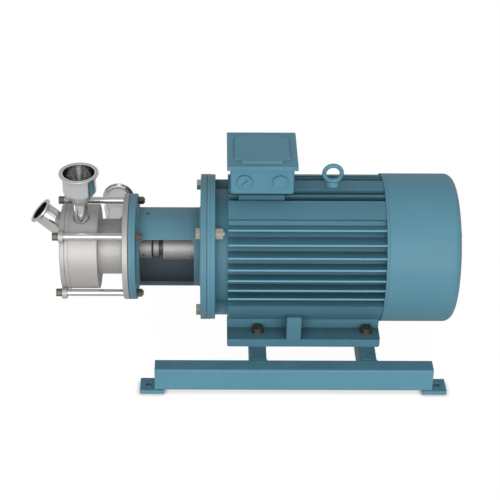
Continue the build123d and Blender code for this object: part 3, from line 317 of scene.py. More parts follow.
# %% Cloudy tone and pebbled skin
def cloudy_tone():
    """A slow and a fine change of tone over the whole machine, each from -1 to 1."""
    gain, offset = 2.0, -1.0
    group, given, result = start_group(
        "cloudy_tone", [("Scale", FLOAT, 9.0), ("Fine Scale", FLOAT, 160.0)],
        [("Tone", FLOAT), ("Fine Tone", FLOAT)])
    place = group.nodes.new("ShaderNodeTexCoord")
    slow = speckle(group, place.outputs["Object"], given.outputs["Scale"], 2.0)
    fine = speckle(group, place.outputs["Object"], given.outputs["Fine Scale"], 4.0)
    for noise, label in ((slow, "Tone"), (fine, "Fine Tone")):
        group.links.new(calculate(group, "MULTIPLY_ADD", noise, gain, offset), result.inputs[label])
    return group


def pebbled_skin():
    """The fine pebble of sprayed enamel or blasted metal, as a height."""
    group, given, result = start_group(
        "pebbled_skin", [("Pebbles Per Metre", FLOAT, 700.0)], [("Height", FLOAT)])
    place = group.nodes.new("ShaderNodeTexCoord")
    pebble = speckle(group, place.outputs["Object"], given.outputs["Pebbles Per Metre"], 2.0, 0.4)
    group.links.new(pebble, result.inputs["Height"])
    return group


cloud_group = cloudy_tone()
pebble_group = pebbled_skin()
print("made", cloud_group.name, "and", pebble_group.name)

# %% [markdown]
# A lathe tool leaves fine rings round the line about which the part turned. Anisotropic shading
# can hint at them, but needs a tangent for each part. The turned parts that show here share the
# shaft's line, so noise that reads only the place along the line and the distance from it draws
# true rings on every one.

# %% Lathe rings
def shaft_radius(tree, parts):
    """A point's distance from the shaft's line."""
    above = calculate(tree, "SUBTRACT", parts.outputs["Z"], shaft_height)
    squares = [calculate(tree, "POWER", calculate(tree, "ABSOLUTE", length), 2.0)
               for length in (parts.outputs["Y"], above)]
    return calculate(tree, "SQRT", calculate(tree, "ADD", *squares))


def lathe_rings():
    """Fine rings round the shaft's line, and a broader change of shade along it."""
    broad_scale = 120.0
    group, given, result = start_group(
        "lathe_rings", [("Rings Per Metre", FLOAT, 900.0)], [("Height", FLOAT), ("Shade", FLOAT)])
    parts = coordinates(group)
    line = group.nodes.new("ShaderNodeCombineXYZ")
    group.links.new(parts.outputs["X"], line.inputs["X"])
    group.links.new(shaft_radius(group, parts), line.inputs["Y"])
    rings = speckle(group, line.outputs[0], given.outputs["Rings Per Metre"], 3.0, 0.6)
    broad = speckle(group, line.outputs[0], broad_scale, 1.0)
    group.links.new(rings, result.inputs["Height"])
    group.links.new(broad, result.inputs["Shade"])
    return group


ring_group = lathe_rings()
print("made", ring_group.name)

# %% [markdown]
# Tops get less light here than fronts, so a dark layer on whatever faces up paints that shade, in
# patches. It could be painted by hand. The upward part of the normal already says where it lies,
# and a noise texture breaks the layer up.

# %% Painted shade on tops
def settled_dirt():
    """A mask of patchy painted shade on whatever faces up."""
    flat_enough = 0.55
    patches_per_metre = 24.0
    layer_gain = 2.0
    group, given, result = start_group(
        "settled_dirt", [("Amount", FLOAT, 0.3)], [("Top Shade", FLOAT)])
    surface = group.nodes.new("ShaderNodeNewGeometry")
    parts = group.nodes.new("ShaderNodeSeparateXYZ")
    place = group.nodes.new("ShaderNodeTexCoord")
    group.links.new(surface.outputs["Normal"], parts.inputs[0])
    upward = calculate(group, "SUBTRACT", parts.outputs["Z"], flat_enough, clamp=True)
    patchy = speckle(group, place.outputs["Object"], patches_per_metre, 6.0, 0.7)
    thick = calculate(group, "MULTIPLY", upward, layer_gain)
    layer = calculate(group, "MULTIPLY", thick, patchy)
    dirt = calculate(group, "MULTIPLY", layer, given.outputs["Amount"], clamp=True)
    group.links.new(dirt, result.inputs["Top Shade"])
    return group


dirt_group = settled_dirt()
print("made", dirt_group.name)

# %% [markdown]
# Corners and the gaps between fins get little light, and this layer paints that shade into the
# colour. The Ambient Occlusion node measures how much of a point's view is blocked close by. It
# looks only at the part's own mesh, so a bolt doesn't print a dark ring on its neighbour.

# %% Painted shade in hidden corners
def hidden_corners():
    """A mask that is 1 deep in a corner or between fins, and 0 in the open."""
    group, given, result = start_group(
        "hidden_corners", [("Reach", FLOAT, 0.03)], [("Hidden", FLOAT)])
    open_sky = group.nodes.new("ShaderNodeAmbientOcclusion")
    open_sky.samples = 6
    open_sky.only_local = True
    group.links.new(given.outputs["Reach"], open_sky.inputs["Distance"])
    hidden = calculate(group, "SUBTRACT", 1.0, open_sky.outputs["AO"], clamp=True)
    group.links.new(hidden, result.inputs["Hidden"])
    return group


corner_group = hidden_corners()
print("made", corner_group.name)

# %% [markdown]
# Three parts change with the distance from the shaft: the fins' tips get a painted highlight while
# the walls between them stay dark, the lantern is hardly painted inside, and painted shade makes
# the shaft's narrow neck darker than its sleeve. Separate materials on chosen faces would need
# those faces picked out by number. This group puts out the distance as a mask between two radii,
# and how far out to a side a point is.

# %% Distance from the shaft
def shaft_distance():
    """A mask that rises from 0 at the inner radius to 1 at the outer radius."""
    group, given, result = start_group(
        "shaft_distance", [("Inner", FLOAT, 0.16), ("Outer", FLOAT, 0.17)],
        [("Far", FLOAT), ("Sideways", FLOAT)])
    parts = coordinates(group)
    radius = shaft_radius(group, parts)
    gone = calculate(group, "SUBTRACT", radius, given.outputs["Inner"])
    span = calculate(group, "SUBTRACT", given.outputs["Outer"], given.outputs["Inner"])
    far = calculate(group, "DIVIDE", gone, span, clamp=True)
    group.links.new(far, result.inputs["Far"])
    group.links.new(calculate(group, "ABSOLUTE", parts.outputs["Y"]), result.inputs["Sideways"])
    return group


distance_group = shaft_distance()
print("made", distance_group.name)

# %% [markdown]
# ## Layers of a finish
# A finish is built layer on layer: the colour that drifts and turns lighter on the edges as wear
# and painted highlight, then painted shade in its corners and on its tops. Each layer could be a
# shader of its own, mixed at the end. Mixing only the colours is cheaper, and leaves one plain
# shader in each material.

# %% Helpers that place groups and mix colours
def place_group(tree, group, **values):
    """A copy of a shared effect in a material, with its own values."""
    node = tree.nodes.new("ShaderNodeGroup")
    node.node_tree = group
    for label, value in values.items():
        node.inputs[label.replace("_", " ")].default_value = value
    return node


def blend_colors(tree, factor, first, second):
    """A mix of two colours; each is a colour or an output socket."""
    node = tree.nodes.new("ShaderNodeMix")
    node.data_type = "RGBA"
    color_a, color_b = node.inputs[6], node.inputs[7]
    for socket, value in ((node.inputs[0], factor), (color_a, first), (color_b, second)):
        if isinstance(value, (int, float)):
            socket.default_value = value
        elif isinstance(value, tuple):
            socket.default_value = (*value, 1.0)
        else:
            tree.links.new(value, socket)
    return node.outputs[2]


def shaded(color, amount):
    """The same colour, darker or lighter, and never brighter than white."""
    return tuple(min(1.0, channel * amount) for channel in color)


print("a darker white is", shaded((1.0, 1.0, 1.0), 0.5))

# %% [markdown]
# The first layers are the colour's own tone, what time does to it, and a painted highlight. Paint
# rubs thin on edges and edges catch the light, so the edges turn lighter, unevenly, where the edge
# mask is broken up by the fine noise. Painted shade darkens the corners after that, on top of the
# paint's colour.

# %% Tone, wear, painted highlight and painted corner shade
def worn_and_highlit_tone(tree, color, wear_and_highlight_color, edges, clouds):
    """The colour, a little darker or brighter from place to place, and lighter on edges as wear and
    painted highlight.
    """
    spread = 0.06
    contrast, middle = 0.7, 0.5
    tone = calculate(tree, "MULTIPLY_ADD", clouds.outputs["Tone"], contrast, middle, clamp=True)
    shade = blend_colors(tree, tone, shaded(color, 1.0 - spread), shaded(color, 1.0 + spread))
    # Edges are painted lighter, as wear and as a painted highlight.
    uneven = calculate(tree, "MULTIPLY_ADD", clouds.outputs["Fine Tone"], middle, middle)
    edge_wear_and_highlight = calculate(tree, "MULTIPLY", edges.outputs["Edge"], uneven, clamp=True)
    return blend_colors(tree, edge_wear_and_highlight, shade, wear_and_highlight_color)


def grimed(tree, shade, color, grime, reach, grime_shade):
    """The shade, with painted shade darkening corners no wider than reach."""
    corners = place_group(tree, corner_group, Reach=reach)
    corner_darkening = calculate(tree, "MULTIPLY", corners.outputs["Hidden"], grime, clamp=True)
    return blend_colors(tree, corner_darkening, shade, shaded(color, grime_shade))


print("helpers for tone, wear and grime are ready")

# %% [markdown]
# Two layers hang on the distance from the shaft. The inner wall has a colour of its own: a thinner,
# greyer coat inside the lantern, and painted shade on the shaft's neck. A fin's tip gets a painted
# highlight, and is told from its walls in two ways: it is as far out as the housing goes, and it
# faces straight to the side. Near the middle plane the same test would also catch the terminal
# box's boss, so only points well out to the side count.

# %% Inner walls, and painted highlights on fin tips
def inner_coat_and_shade(tree, shade, inner, outer, inner_color):
    """The shade, with another colour nearer to the shaft than the inner radius."""
    wall = place_group(tree, distance_group, Inner=inner, Outer=outer)
    return blend_colors(tree, wall.outputs["Far"], inner_color, shade)


def tip_highlighted(tree, shade, inner, outer, tip_highlight_color):
    """The shade, with a painted highlight in a light colour on the flat tips of the side fins."""
    straight_out = 0.97
    tip_gain = 60.0
    well_out = 0.11
    rim = place_group(tree, distance_group, Inner=inner, Outer=outer)
    surface = tree.nodes.new("ShaderNodeNewGeometry")
    parts = tree.nodes.new("ShaderNodeSeparateXYZ")
    tree.links.new(surface.outputs["True Normal"], parts.inputs[0])
    sideways = calculate(tree, "ABSOLUTE", parts.outputs["Y"])
    turned = calculate(tree, "SUBTRACT", sideways, straight_out)
    flat = calculate(tree, "MULTIPLY", turned, tip_gain, clamp=True)
    out = calculate(tree, "GREATER_THAN", rim.outputs["Sideways"], well_out)
    flat_rim = calculate(tree, "MULTIPLY", rim.outputs["Far"], flat)
    return blend_colors(tree, calculate(tree, "MULTIPLY", flat_rim, out), shade, tip_highlight_color)


print("helpers for inner walls and fin tips are ready")

# %% [markdown]
# ## One recipe for every finish
# Paint, blasted steel, mirror steel, copper, rubber and plastic differ in numbers, not in build.
# So one function stacks the layers and feeds them to a Principled shader, and a layer whose
# number is left out isn't built. What is the same all over a surface, such as how metallic it is,
# sits on the shader's own socket. The relief is bump: it is far too fine to be real mesh.

# %% The recipe
dirt_color = (0.030, 0.042, 0.045)
dirt_dulls = 0.3
gloss_drift = 0.08
relief_depth = 0.0004


def relief_normal(tree, height, bump, edges):
    """A normal that follows a height on top of the softened edges."""
    relief = tree.nodes.new("ShaderNodeBump")
    relief.inputs["Strength"].default_value = bump
    relief.inputs["Distance"].default_value = relief_depth
    tree.links.new(height, relief.inputs["Height"])
    tree.links.new(edges.outputs["Normal"], relief.inputs["Normal"])
    return relief.outputs["Normal"]


def coated(name, color, wear_and_highlight_color, roughness, pebbles, bump, edge_radius, metallic=0.0,
           gloss=0.5, rings=None, ring_bump=0.0, grime=0.0, reach=0.03, grime_shade=0.3,
           dirt=0.0, inner_wall=None, fin_tips=None):
    """A finish with tone changes, rounded edges that wear lighter with a painted highlight, and a
    fine surface.
    """
    material = bpy.data.materials.new(name)
    material.use_nodes = True
    tree = material.node_tree
    tree.nodes.clear()
    shader = tree.nodes.new("ShaderNodeBsdfPrincipled")
    end = tree.nodes.new("ShaderNodeOutputMaterial")
    tree.links.new(shader.outputs[0], end.inputs["Surface"])
    shader.inputs["Metallic"].default_value = metallic
    shader.inputs["Specular IOR Level"].default_value = gloss
    edges = place_group(tree, edge_group, Radius=edge_radius)
    clouds = place_group(tree, cloud_group)
    height = place_group(tree, pebble_group, Pebbles_Per_Metre=pebbles).outputs["Height"]
    shade = worn_and_highlit_tone(tree, color, wear_and_highlight_color, edges, clouds)
    rough = calculate(tree, "MULTIPLY_ADD", clouds.outputs["Fine Tone"], gloss_drift, roughness)
    if rings:
        turning = place_group(tree, ring_group, Rings_Per_Metre=rings)
        height = calculate(tree, "MULTIPLY_ADD", turning.outputs["Height"], ring_bump, height)
        rough = calculate(tree, "MULTIPLY_ADD", turning.outputs["Shade"], gloss_drift, rough)
    # Painted shade darkens the corners.
    if grime:
        shade = grimed(tree, shade, color, grime, reach, grime_shade)
    # Painted shade darkens what faces up.
    if dirt:
        top_shaded = place_group(tree, dirt_group, Amount=dirt).outputs["Top Shade"]
        shade = blend_colors(tree, top_shaded, shade, dirt_color)
        rough = calculate(tree, "MULTIPLY_ADD", top_shaded, dirt_dulls, rough)
    # The inner band: a thinner, greyer coat in the lantern, painted shade on the shaft's neck.
    if inner_wall:
        shade = inner_coat_and_shade(tree, shade, *inner_wall)
    # Painted highlight on the fin tips.
    if fin_tips:
        shade = tip_highlighted(tree, shade, *fin_tips)
    tree.links.new(relief_normal(tree, height, bump, edges), shader.inputs["Normal"])
    tree.links.new(shade, shader.inputs["Base Color"])
    tree.links.new(rough, shader.inputs["Roughness"])
    return material


print("the recipe is ready")

# %% [markdown]
# ## Finishes
# The motor, lantern and frame wear one satin grey-blue enamel, sprayed over castings and welded
# tube. Its pebble is about a millimetre wide, and its gloss is low. The eyebolt, the plugs and the
# small screws are painted too, over smoother metal, so theirs is a touch glossier. A clear coat on
# top would be the next richer way to build it, and would shine too much here.

# %% Mix the paints
blue = (0.092, 0.240, 0.315)
# The lighter blue for edges is worn paint and a painted highlight.
worn_and_highlit_blue = (0.14, 0.31, 0.39)
enamel = {"roughness": 0.45, "pebbles": 700.0, "bump": 0.12, "edge_radius": 0.0012,
          "gloss": 0.25, "grime": 0.8}
finishes = {}


def mix(name, color, wear_and_highlight_color, **layers):
    """Mixes a finish and keeps it under the name of its slot in the record."""
    finishes[name] = coated(name, color, wear_and_highlight_color, **layers)
    print("mixed", name)


mix("blue_paint", blue, worn_and_highlit_blue, **enamel)
mix("painted_hardware", (0.095, 0.245, 0.32), (0.15, 0.32, 0.40), roughness=0.40, pebbles=700.0,
    bump=0.10, edge_radius=0.0008, gloss=0.3)

# %% [markdown]
# The wet end is stainless in two states. The chamber is turned and then bead blasted, so it looks
# pale and almost like a matt paint: a half metallic shader comes closer to it than a full one, and
# painted shade darkens its tops. The ports are drawn tube, polished like a mirror, with painted
# shade where they mirror their own inside. The shaft's parts are only turned, with rings that can
# be felt.

# %% Mix the bright steels
# Satin stainless gets painted shade on its tops and in its corners.
mix("satin_stainless", (0.475, 0.462, 0.450), (0.68, 0.67, 0.66), roughness=0.52, metallic=0.50,
    pebbles=1600.0, bump=0.10, edge_radius=0.0008, rings=1400.0, ring_bump=1.6, grime=0.6,
    reach=0.012, dirt=0.55)
# Painted shade where the ports mirror their own inside.
mix("polished_stainless", (0.72, 0.725, 0.73), (0.90, 0.90, 0.90), roughness=0.15, metallic=1.0,
    pebbles=60.0, bump=0.02, edge_radius=0.0010, grime=0.9, reach=0.04, grime_shade=0.12)
mix("turned_steel", (0.52, 0.505, 0.485), (0.70, 0.69, 0.68), roughness=0.40, metallic=1.0,
    pebbles=900.0, bump=0.03, edge_radius=0.0006, rings=1800.0, ring_bump=2.0, grime=0.6,
    reach=0.01)

# %% [markdown]
# The flange's bolts are zinc plated, which gives steel a pale, slightly yellow skin. The foot bolts
# and the tie rods' screws are black from the forge and rubbed with oil. One metal with two tints
# would do for both, but only the black ones get painted shade on their tops.

# %% Mix the fasteners
mix("plated_fastener", (0.60, 0.56, 0.48), (0.78, 0.75, 0.68), roughness=0.36, metallic=1.0,
    pebbles=1200.0, bump=0.08, edge_radius=0.0008)
mix("dark_fastener", (0.17, 0.145, 0.12), (0.42, 0.38, 0.33), roughness=0.42, metallic=0.9,
    pebbles=1200.0, bump=0.10, edge_radius=0.0006, dirt=0.3)

# %% [markdown]
# The rest sits inside the motor and the seal, and shows only when the model is opened: stacked
# sheet steel, varnished copper, rubber, and the ceramic and carbon rings that run on each other.
# A plain grey would pass unseen. True finishes cost one line each and make the inside readable.

# %% Mix the inner parts' finishes
mix("core_steel", (0.20, 0.20, 0.21), (0.40, 0.40, 0.41), roughness=0.50, metallic=0.8,
    pebbles=1500.0, bump=0.15, edge_radius=0.0005)
mix("winding_copper", (0.42, 0.16, 0.06), (0.60, 0.28, 0.14), roughness=0.35, metallic=0.2,
    pebbles=500.0, bump=0.30, edge_radius=0.0010)
mix("rubber_seal", (0.022, 0.022, 0.023), (0.05, 0.05, 0.05), roughness=0.62, pebbles=900.0,
    bump=0.15, edge_radius=0.0006)
mix("seal_ceramic", (0.82, 0.80, 0.75), (0.90, 0.88, 0.84), roughness=0.20, pebbles=900.0,
    bump=0.03, edge_radius=0.0005)
mix("seal_carbon", (0.045, 0.045, 0.05), (0.10, 0.10, 0.11), roughness=0.45, pebbles=1500.0,
    bump=0.08, edge_radius=0.0004)
mix("moulded_plastic", (0.06, 0.06, 0.062), (0.12, 0.12, 0.12), roughness=0.46, pebbles=500.0,
    bump=0.10, edge_radius=0.0008)

# %% [markdown]
# ## Special coats
# Some parts differ from their slot's finish. The two castings come first: the finned housing is a
# darker coat with painted highlights on its tips, and the lantern is a thinner, greyer blue inside.
# The record could have a slot for each, but they are the same paint from the same gun, so the slot
# stays and only the material on that part is its own.

# %% Mix the castings' coats
# The finned coat's light fin tips are a painted highlight.
special_coats = {
    "stator_frame": coated("finned_coat", shaded(blue, 0.78), worn_and_highlit_blue,
                           fin_tips=(0.1675, 0.1685, (0.16, 0.39, 0.50)),
                           **dict(enamel, gloss=0.15)),
    "lantern": coated("lantern_coat", (0.098, 0.225, 0.290), worn_and_highlit_blue,
                      inner_wall=(0.084, 0.090, (0.14, 0.178, 0.215)), **enamel),
}
print("mixed coats for", " and ".join(special_coats))

# %% [markdown]
# In the window, the collar and the splash ring are a darker, duller steel, and painted shade makes
# the shaft's neck darker than its sleeve. The spacer tubes are plain drawn tube, less bright than
# the ports. The funnel is the brightest tube of all, with a deep inside, so its painted corner
# shade reaches further.

# %% Mix the shaft's and tubes' coats
dulled_steel = coated("dulled_steel", (0.38, 0.37, 0.355), (0.52, 0.51, 0.50), roughness=0.50,
                      metallic=0.60, pebbles=900.0, bump=0.04, edge_radius=0.0006, rings=1800.0,
                      ring_bump=2.0, grime=0.7, reach=0.01)
for name in ("seal_collar", "splash_ring"):
    special_coats[name] = dulled_steel
special_coats["spacer_tubes"] = coated(
    "drawn_tube_steel", (0.58, 0.59, 0.60), (0.75, 0.75, 0.75), roughness=0.30, metallic=0.9,
    pebbles=900.0, bump=0.04, edge_radius=0.0006, grime=0.5, reach=0.012)
# The dark band on the neck is painted shade.
special_coats["stub_shaft"] = coated(
    "shaded_neck_steel", (0.385, 0.376, 0.362), (0.60, 0.59, 0.58), roughness=0.50, metallic=0.60,
    pebbles=1600.0, bump=0.08, edge_radius=0.0008, rings=1400.0, ring_bump=1.8, grime=0.6,
    reach=0.012, inner_wall=(0.0195, 0.0225, (0.10, 0.098, 0.095)))
# Painted shade deep inside the funnel.
special_coats["powder_inlet"] = coated(
    "funnel_steel", (0.80, 0.805, 0.81), (0.92, 0.92, 0.92), roughness=0.15, metallic=1.0,
    pebbles=60.0, bump=0.02, edge_radius=0.0010, grime=1.0, reach=0.06, grime_shade=0.18)
print("special coats now cover", len(special_coats), "parts")

# %% [markdown]
# The welded frame's coat is a little lighter than the motor's, with painted shade on its tops. The
# feet and cross beams stand in the motor's shade, which their darker coat paints, with more painted
# shade in their corners. The port welds stay as the torch left them, a straw tinted grey that also
# paints the shadow line round each port's root. No imported part wears it: it is for the beads that
# are made further down.

# %% Mix the frame's coats
# The frame's tops get painted shade.
rail_coat = coated("rail_coat", shaded(blue, 1.09), worn_and_highlit_blue, dirt=0.6, **enamel)
# The feet's darker coat is painted shade under the motor.
shaded_foot_coat = coated("shaded_foot_coat", shaded(blue, 0.84), worn_and_highlit_blue, dirt=0.6, **dict(enamel, grime=0.9))
for name in ("front_rail", "rear_rail", "anchor_pads", "rail_end_caps"):
    special_coats[name] = rail_coat
for name in ("drive_end_beam", "fan_end_beam", "front_foot", "rear_foot"):
    special_coats[name] = shaded_foot_coat
# The welds' dark tint is heat tint, and also paints the shadow line round each port's root.
tinted_weld_and_shadow = coated("tinted_weld_and_shadow", (0.20, 0.19, 0.175), (0.40, 0.39, 0.37), roughness=0.42,
                     metallic=0.9, pebbles=1200.0, bump=0.08, edge_radius=0.0006)
print("mixed special coats for", len(special_coats), "parts")

# %% [markdown]
# A material could be dragged onto each of the sixty parts by hand. The record already names the
# slot of each one, so a loop hands the finishes out, and a special coat goes first where there is
# one.

# %% Hand out the finishes
for subpart in frame["record"]["subparts"]:
    finish = special_coats.get(subpart["node"], finishes[subpart["material_slot"]])
    thing = nodes[subpart["node"]]
    for place in thing.material_slots:
        place.material = finish

# %% [markdown]
# ## Small pieces that the solids leave out
# Welds, thread ends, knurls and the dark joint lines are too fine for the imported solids. They are
# built here from plain numbers: distances in millimetres from the point where the shaft's line
# meets the motor's flange, as a maker would measure them. A piece could be a modifier on a curve,
# but a small mesh written ring by ring keeps full control over ripples and teeth.

# %% Place and dress a piece
def spot(x, y, z):
    """A place in millimetres from the flange on the shaft's line, in the model's metres."""
    return Vector(((x - flange_offset) / mm_per_metre, y / mm_per_metre,
                   (z + shaft_rise) / mm_per_metre))


def dress(name, builder, finish, smooth=True, coat=None, body="frame"):
    """Makes mesh work a piece that moves with a body, in its slot's finish or a special coat."""
    bmesh.ops.recalc_face_normals(builder, faces=builder.faces)
    mesh = bpy.data.meshes.new(name)
    builder.to_mesh(mesh)
    builder.free()
    for face in mesh.polygons:
        face.use_smooth = smooth
    mesh.materials.append(coat or finishes[finish])
    piece = bpy.data.objects.new(name, mesh)
    scene.collection.objects.link(piece)
    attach(piece, body)
    print(name, "has", len(mesh.polygons), "faces")
    return piece


print("the flange's middle is at", [round(value, 3) for value in spot(0.0, 0.0, 0.0)])

# %% [markdown]
# Nearly every small piece is a row of rings with a skin stretched over them. A turned piece has
# its rings round a line along the shaft, and a weld bead has small rings strung along its path.
# Blender's Spin and a bevelled curve make the same two shapes. The ring rows share one skin
# helper, and let a knurl or a ripple change any ring.

# %% Skin, turned pieces and weld beads
def around(count):
    """Evenly spaced turns of a full circle."""
    return [math.tau * k / count for k in range(count)]


def skin(builder, rows, closed=True):
    """Faces between rings of points; closed joins the last ring to the first."""
    for k in range(0 if closed else 1, len(rows)):
        here, there = rows[k - 1], rows[k]
        for j in range(len(here)):
            builder.faces.new((here[j - 1], here[j], there[j], there[j - 1]))


def revolve(builder, outline, centre=(0.0, 0.0), sides=96, teeth=0.0):
    """Turns a closed outline of (x, radius) about a line along the shaft; teeth make a knurl."""
    rows = []
    for x, radius in outline:
        row = []
        for k, turn in enumerate(around(sides)):
            reach = radius - teeth * (k % 2)
            y, z = reach * math.cos(turn), reach * math.sin(turn)
            row.append(builder.verts.new(spot(x, centre[0] + y, centre[1] + z)))
        rows.append(row)
    skin(builder, rows)


def bead(builder, path, size, lift, closed=True):
    """A weld bead of ripples along a path; lift points away from the metal under it."""
    ripple, ripple_points = 0.16, 4.0
    rows = []
    last = len(path) - 1
    for k, here in enumerate(path):
        before = path[k - 1] if closed or k > 0 else here
        after = path[(k + 1) % len(path)] if closed or k < last else here
        along = (after - before).normalized()
        side = along.cross(Vector(lift)).normalized()
        up = side.cross(along)
        swell = 1.0 + ripple * math.sin(math.tau * k / ripple_points)
        reach = size * swell / mm_per_metre
        rows.append([builder.verts.new(here + reach * (math.cos(t) * side + math.sin(t) * up))
                     for t in around(8)])
    skin(builder, rows, closed)
    if not closed:
        builder.faces.new(rows[0])
        builder.faces.new(rows[-1])


print("helpers for new pieces are ready")

# %% [markdown]
# The three stainless ports are welded on. The powder neck meets the round chamber in a saddle
# line, the slanted liquid port meets the flat cover in an ellipse, and the outlet meets the
# housing in a second saddle. The lines could be taken from a boolean cut of the solids. Each is a
# circle laid onto a round or flat face, so a square root gives it exactly.

# %% Port welds
chamber_radius = 99.5
housing_radius = 65.0
cover_face = -338.7
neck_x, neck_y, neck_radius = -290.0, -24.5, 17.3
inlet_rise, inlet_half_width, inlet_half_height = 54.0, 25.7, 35.1
outlet_x, outlet_radius = -223.25, 25.7
neck_bead, port_bead = 1.7, 1.5

port_welds = bmesh.new()
neck_line = []
for turn in around(96):
    y = neck_y + neck_radius * math.sin(turn)
    z = math.sqrt(chamber_radius ** 2 - y ** 2)
    neck_line.append(spot(neck_x + neck_radius * math.cos(turn), y, z))
bead(port_welds, neck_line, neck_bead, (0, 0, 1))
inlet_line = [spot(cover_face, inlet_half_width * math.cos(turn),
                   inlet_rise + inlet_half_height * math.sin(turn)) for turn in around(140)]
bead(port_welds, inlet_line, port_bead, (-1, 0, 0))
outlet_line = []
for turn in around(120):
    z = outlet_radius * math.sin(turn)
    y = math.sqrt(housing_radius ** 2 - z ** 2)
    outlet_line.append(spot(outlet_x + outlet_radius * math.cos(turn), y, z))
bead(port_welds, outlet_line, port_bead, (0, 1, 0))
# The beads' dark tint also paints the shadow line round each port's root.
dress("port_welds", port_welds, "satin_stainless", coat=tinted_weld_and_shadow)

# %% [markdown]
# Between the smooth pad and the first fin, the casting fills the gap with a shallow shoulder, so
# that gap is lighter than the deep ones. It could be one more fin of the solid. Here it is one bent
# strip along each side of the housing, which keeps the casting's own mesh as imported.

# %% Shoulders under the pads
fins_start, fins_end = 48.4, 404.6
shoulder_outline = ((55.4, 163.5), (52.0, 160.5), (49.0, 158.5), (46.9, 157.5), (46.9, 146.0),
                    (55.4, 146.0))

shoulders = bmesh.new()
for side in (-1.0, 1.0):
    rows = []
    for x in (fins_start, fins_end):
        row = []
        for degrees, radius in shoulder_outline:
            turn = math.radians(degrees)
            y, z = side * radius * math.cos(turn), radius * math.sin(turn)
            row.append(shoulders.verts.new(spot(x, y, z)))
        rows.append(row)
    skin(shoulders, rows, closed=False)
    shoulders.faces.new(rows[0])
    shoulders.faces.new(rows[1])
dress("housing_shoulders", shoulders, "blue_paint", smooth=False,
      coat=special_coats["stator_frame"])

# %% [markdown]
# The cross beams are cut square and welded to the rails up both sides, and the rails' ends stand
# on their anchor pads in a fillet. A straight round bar would look like a rod laid in the corner,
# so these are rippled beads as well. They are painted with the frame, so they wear its coat.

# %% Frame welds
rail_face = 207.0
beam_middles = (118.5, 372.5)
beam_half_width = 20.0
beam_bottom, beam_top = -233.0, -175.0
rail_start, rail_end = -119.0, 519.0
pad_top = -234.0
pad_sides = ((-245.5, -208.5), (208.5, 245.5))
frame_bead = 1.9


def run(start, end, step=1.2):
    """Points along a straight run, a step in millimetres apart."""
    count = max(2, int((end - start).length * mm_per_metre / step))
    return [start.lerp(end, k / count) for k in range(count + 1)]


frame_welds = bmesh.new()
for face, outward in ((-rail_face, 1.0), (rail_face, -1.0)):
    for middle in beam_middles:
        for edge in (-beam_half_width, beam_half_width):
            line = run(spot(middle + edge, face, beam_bottom), spot(middle + edge, face, beam_top))
            lift = (math.copysign(1.0, edge), outward, 0)
            bead(frame_welds, line, frame_bead, lift, closed=False)
for x, outward in ((rail_start, -1.0), (rail_end, 1.0)):
    for near, far in pad_sides:
        line = run(spot(x, near, pad_top), spot(x, far, pad_top))
        bead(frame_welds, line, frame_bead, (outward, 0, 1), closed=False)
dress("frame_welds", frame_welds, "blue_paint", coat=rail_coat)

# %% [markdown]
# The bolts end in a few turns of thread that stand out of their nuts, and the socket heads of the
# tie rods have a knurled side for the fingers. A true helix costs thousands of faces for turns
# that are a millimetre apart. A sawtooth outline turned about the bolt's own line looks the same,
# and a ring with alternating radius gives the knurl.

# %% Thread ends and knurls
tie_circle = 111.0
flange_bolt_circle = 150.0
tie_thread = (-151.4, -148.6, 6.02, 6.3, 0.9)
flange_thread = (37.1, 39.8, 8.02, 8.35, 0.9)
knurl_start, knurl_end = -352.2, -342.0
knurl_inner, knurl_outer, knurl_depth = 8.7, 9.3, 0.28
corner_turns = [math.radians(45.0 + 90.0 * k) for k in range(4)]
corners = [(math.cos(turn), math.sin(turn)) for turn in corner_turns]


def thread_outline(start, end, core, crest, pitch):
    """A closed sawtooth outline between two places on a bolt."""
    wall = 0.6
    outline = [(start, core - wall), (start, core)]
    x = start
    while x + pitch <= end:
        outline += [(x + pitch / 2.0, crest), (x + pitch, core)]
        x += pitch
    outline.append((x, core - wall))
    return outline


small_parts = bmesh.new()
knurl = [(knurl_start, knurl_inner), (knurl_start, knurl_outer), (knurl_end, knurl_outer),
         (knurl_end, knurl_inner)]
for across, up in corners:
    rod = (tie_circle * across, tie_circle * up)
    revolve(small_parts, thread_outline(*tie_thread), rod, 40)
    revolve(small_parts, knurl, rod, 72, teeth=knurl_depth)
dress("thread_ends_and_knurls", small_parts, "dark_fastener", smooth=False)
nut_end = bmesh.new()
nut_line = (-flange_bolt_circle * corners[0][0], flange_bolt_circle * corners[0][1])
revolve(nut_end, thread_outline(*flange_thread), nut_line, 48)
dress("flange_thread_end", nut_end, "plated_fastener", smooth=False)

# %% [markdown]
# Where two round parts meet, the eye sees a thin dark line: the cover on its chamber, the wet
# flange on the lantern, and the lantern on the motor. A groove cut into the solids would be too
# fine, and paint alone would vanish from the side. A hair-wide dark ring draws each one.

# %% Joint lines
joints = ((-327.5, 100.55, 0.7), (-180.5, 124.5, 0.8), (0.0, 170.2, 0.8))
joint_depth = 1.5

joint_lines = bmesh.new()
for x, radius, width in joints:
    low, high = x - width / 2.0, x + width / 2.0
    inside = radius - joint_depth
    outline = [(low, inside), (low, radius), (high, radius), (high, inside)]
    revolve(joint_lines, outline, sides=160)
dress("joint_lines", joint_lines, "rubber_seal")

# %% [markdown]
# Between the seal's collar and the splash ring sits a rubber lip that turns with the shaft and
# keeps water off the seal. Its dark rubber also paints the shade that lies in the gap between
# collar and splash ring. A plain band would do from afar. It is one turned ring with a sharp outer
# edge, as such a lip is moulded, and it rides on the rotor, so it spins with the shaft.

# %% Rubber lip on the shaft
lip_outline = [(-130.3, 19.1), (-130.3, 24.5), (-129.2, 26.0), (-127.6, 23.0), (-126.7, 21.0),
               (-126.7, 19.1)]

lip = bmesh.new()
revolve(lip, lip_outline)
dress("shaft_lip_shade", lip, "rubber_seal", body="rotor")

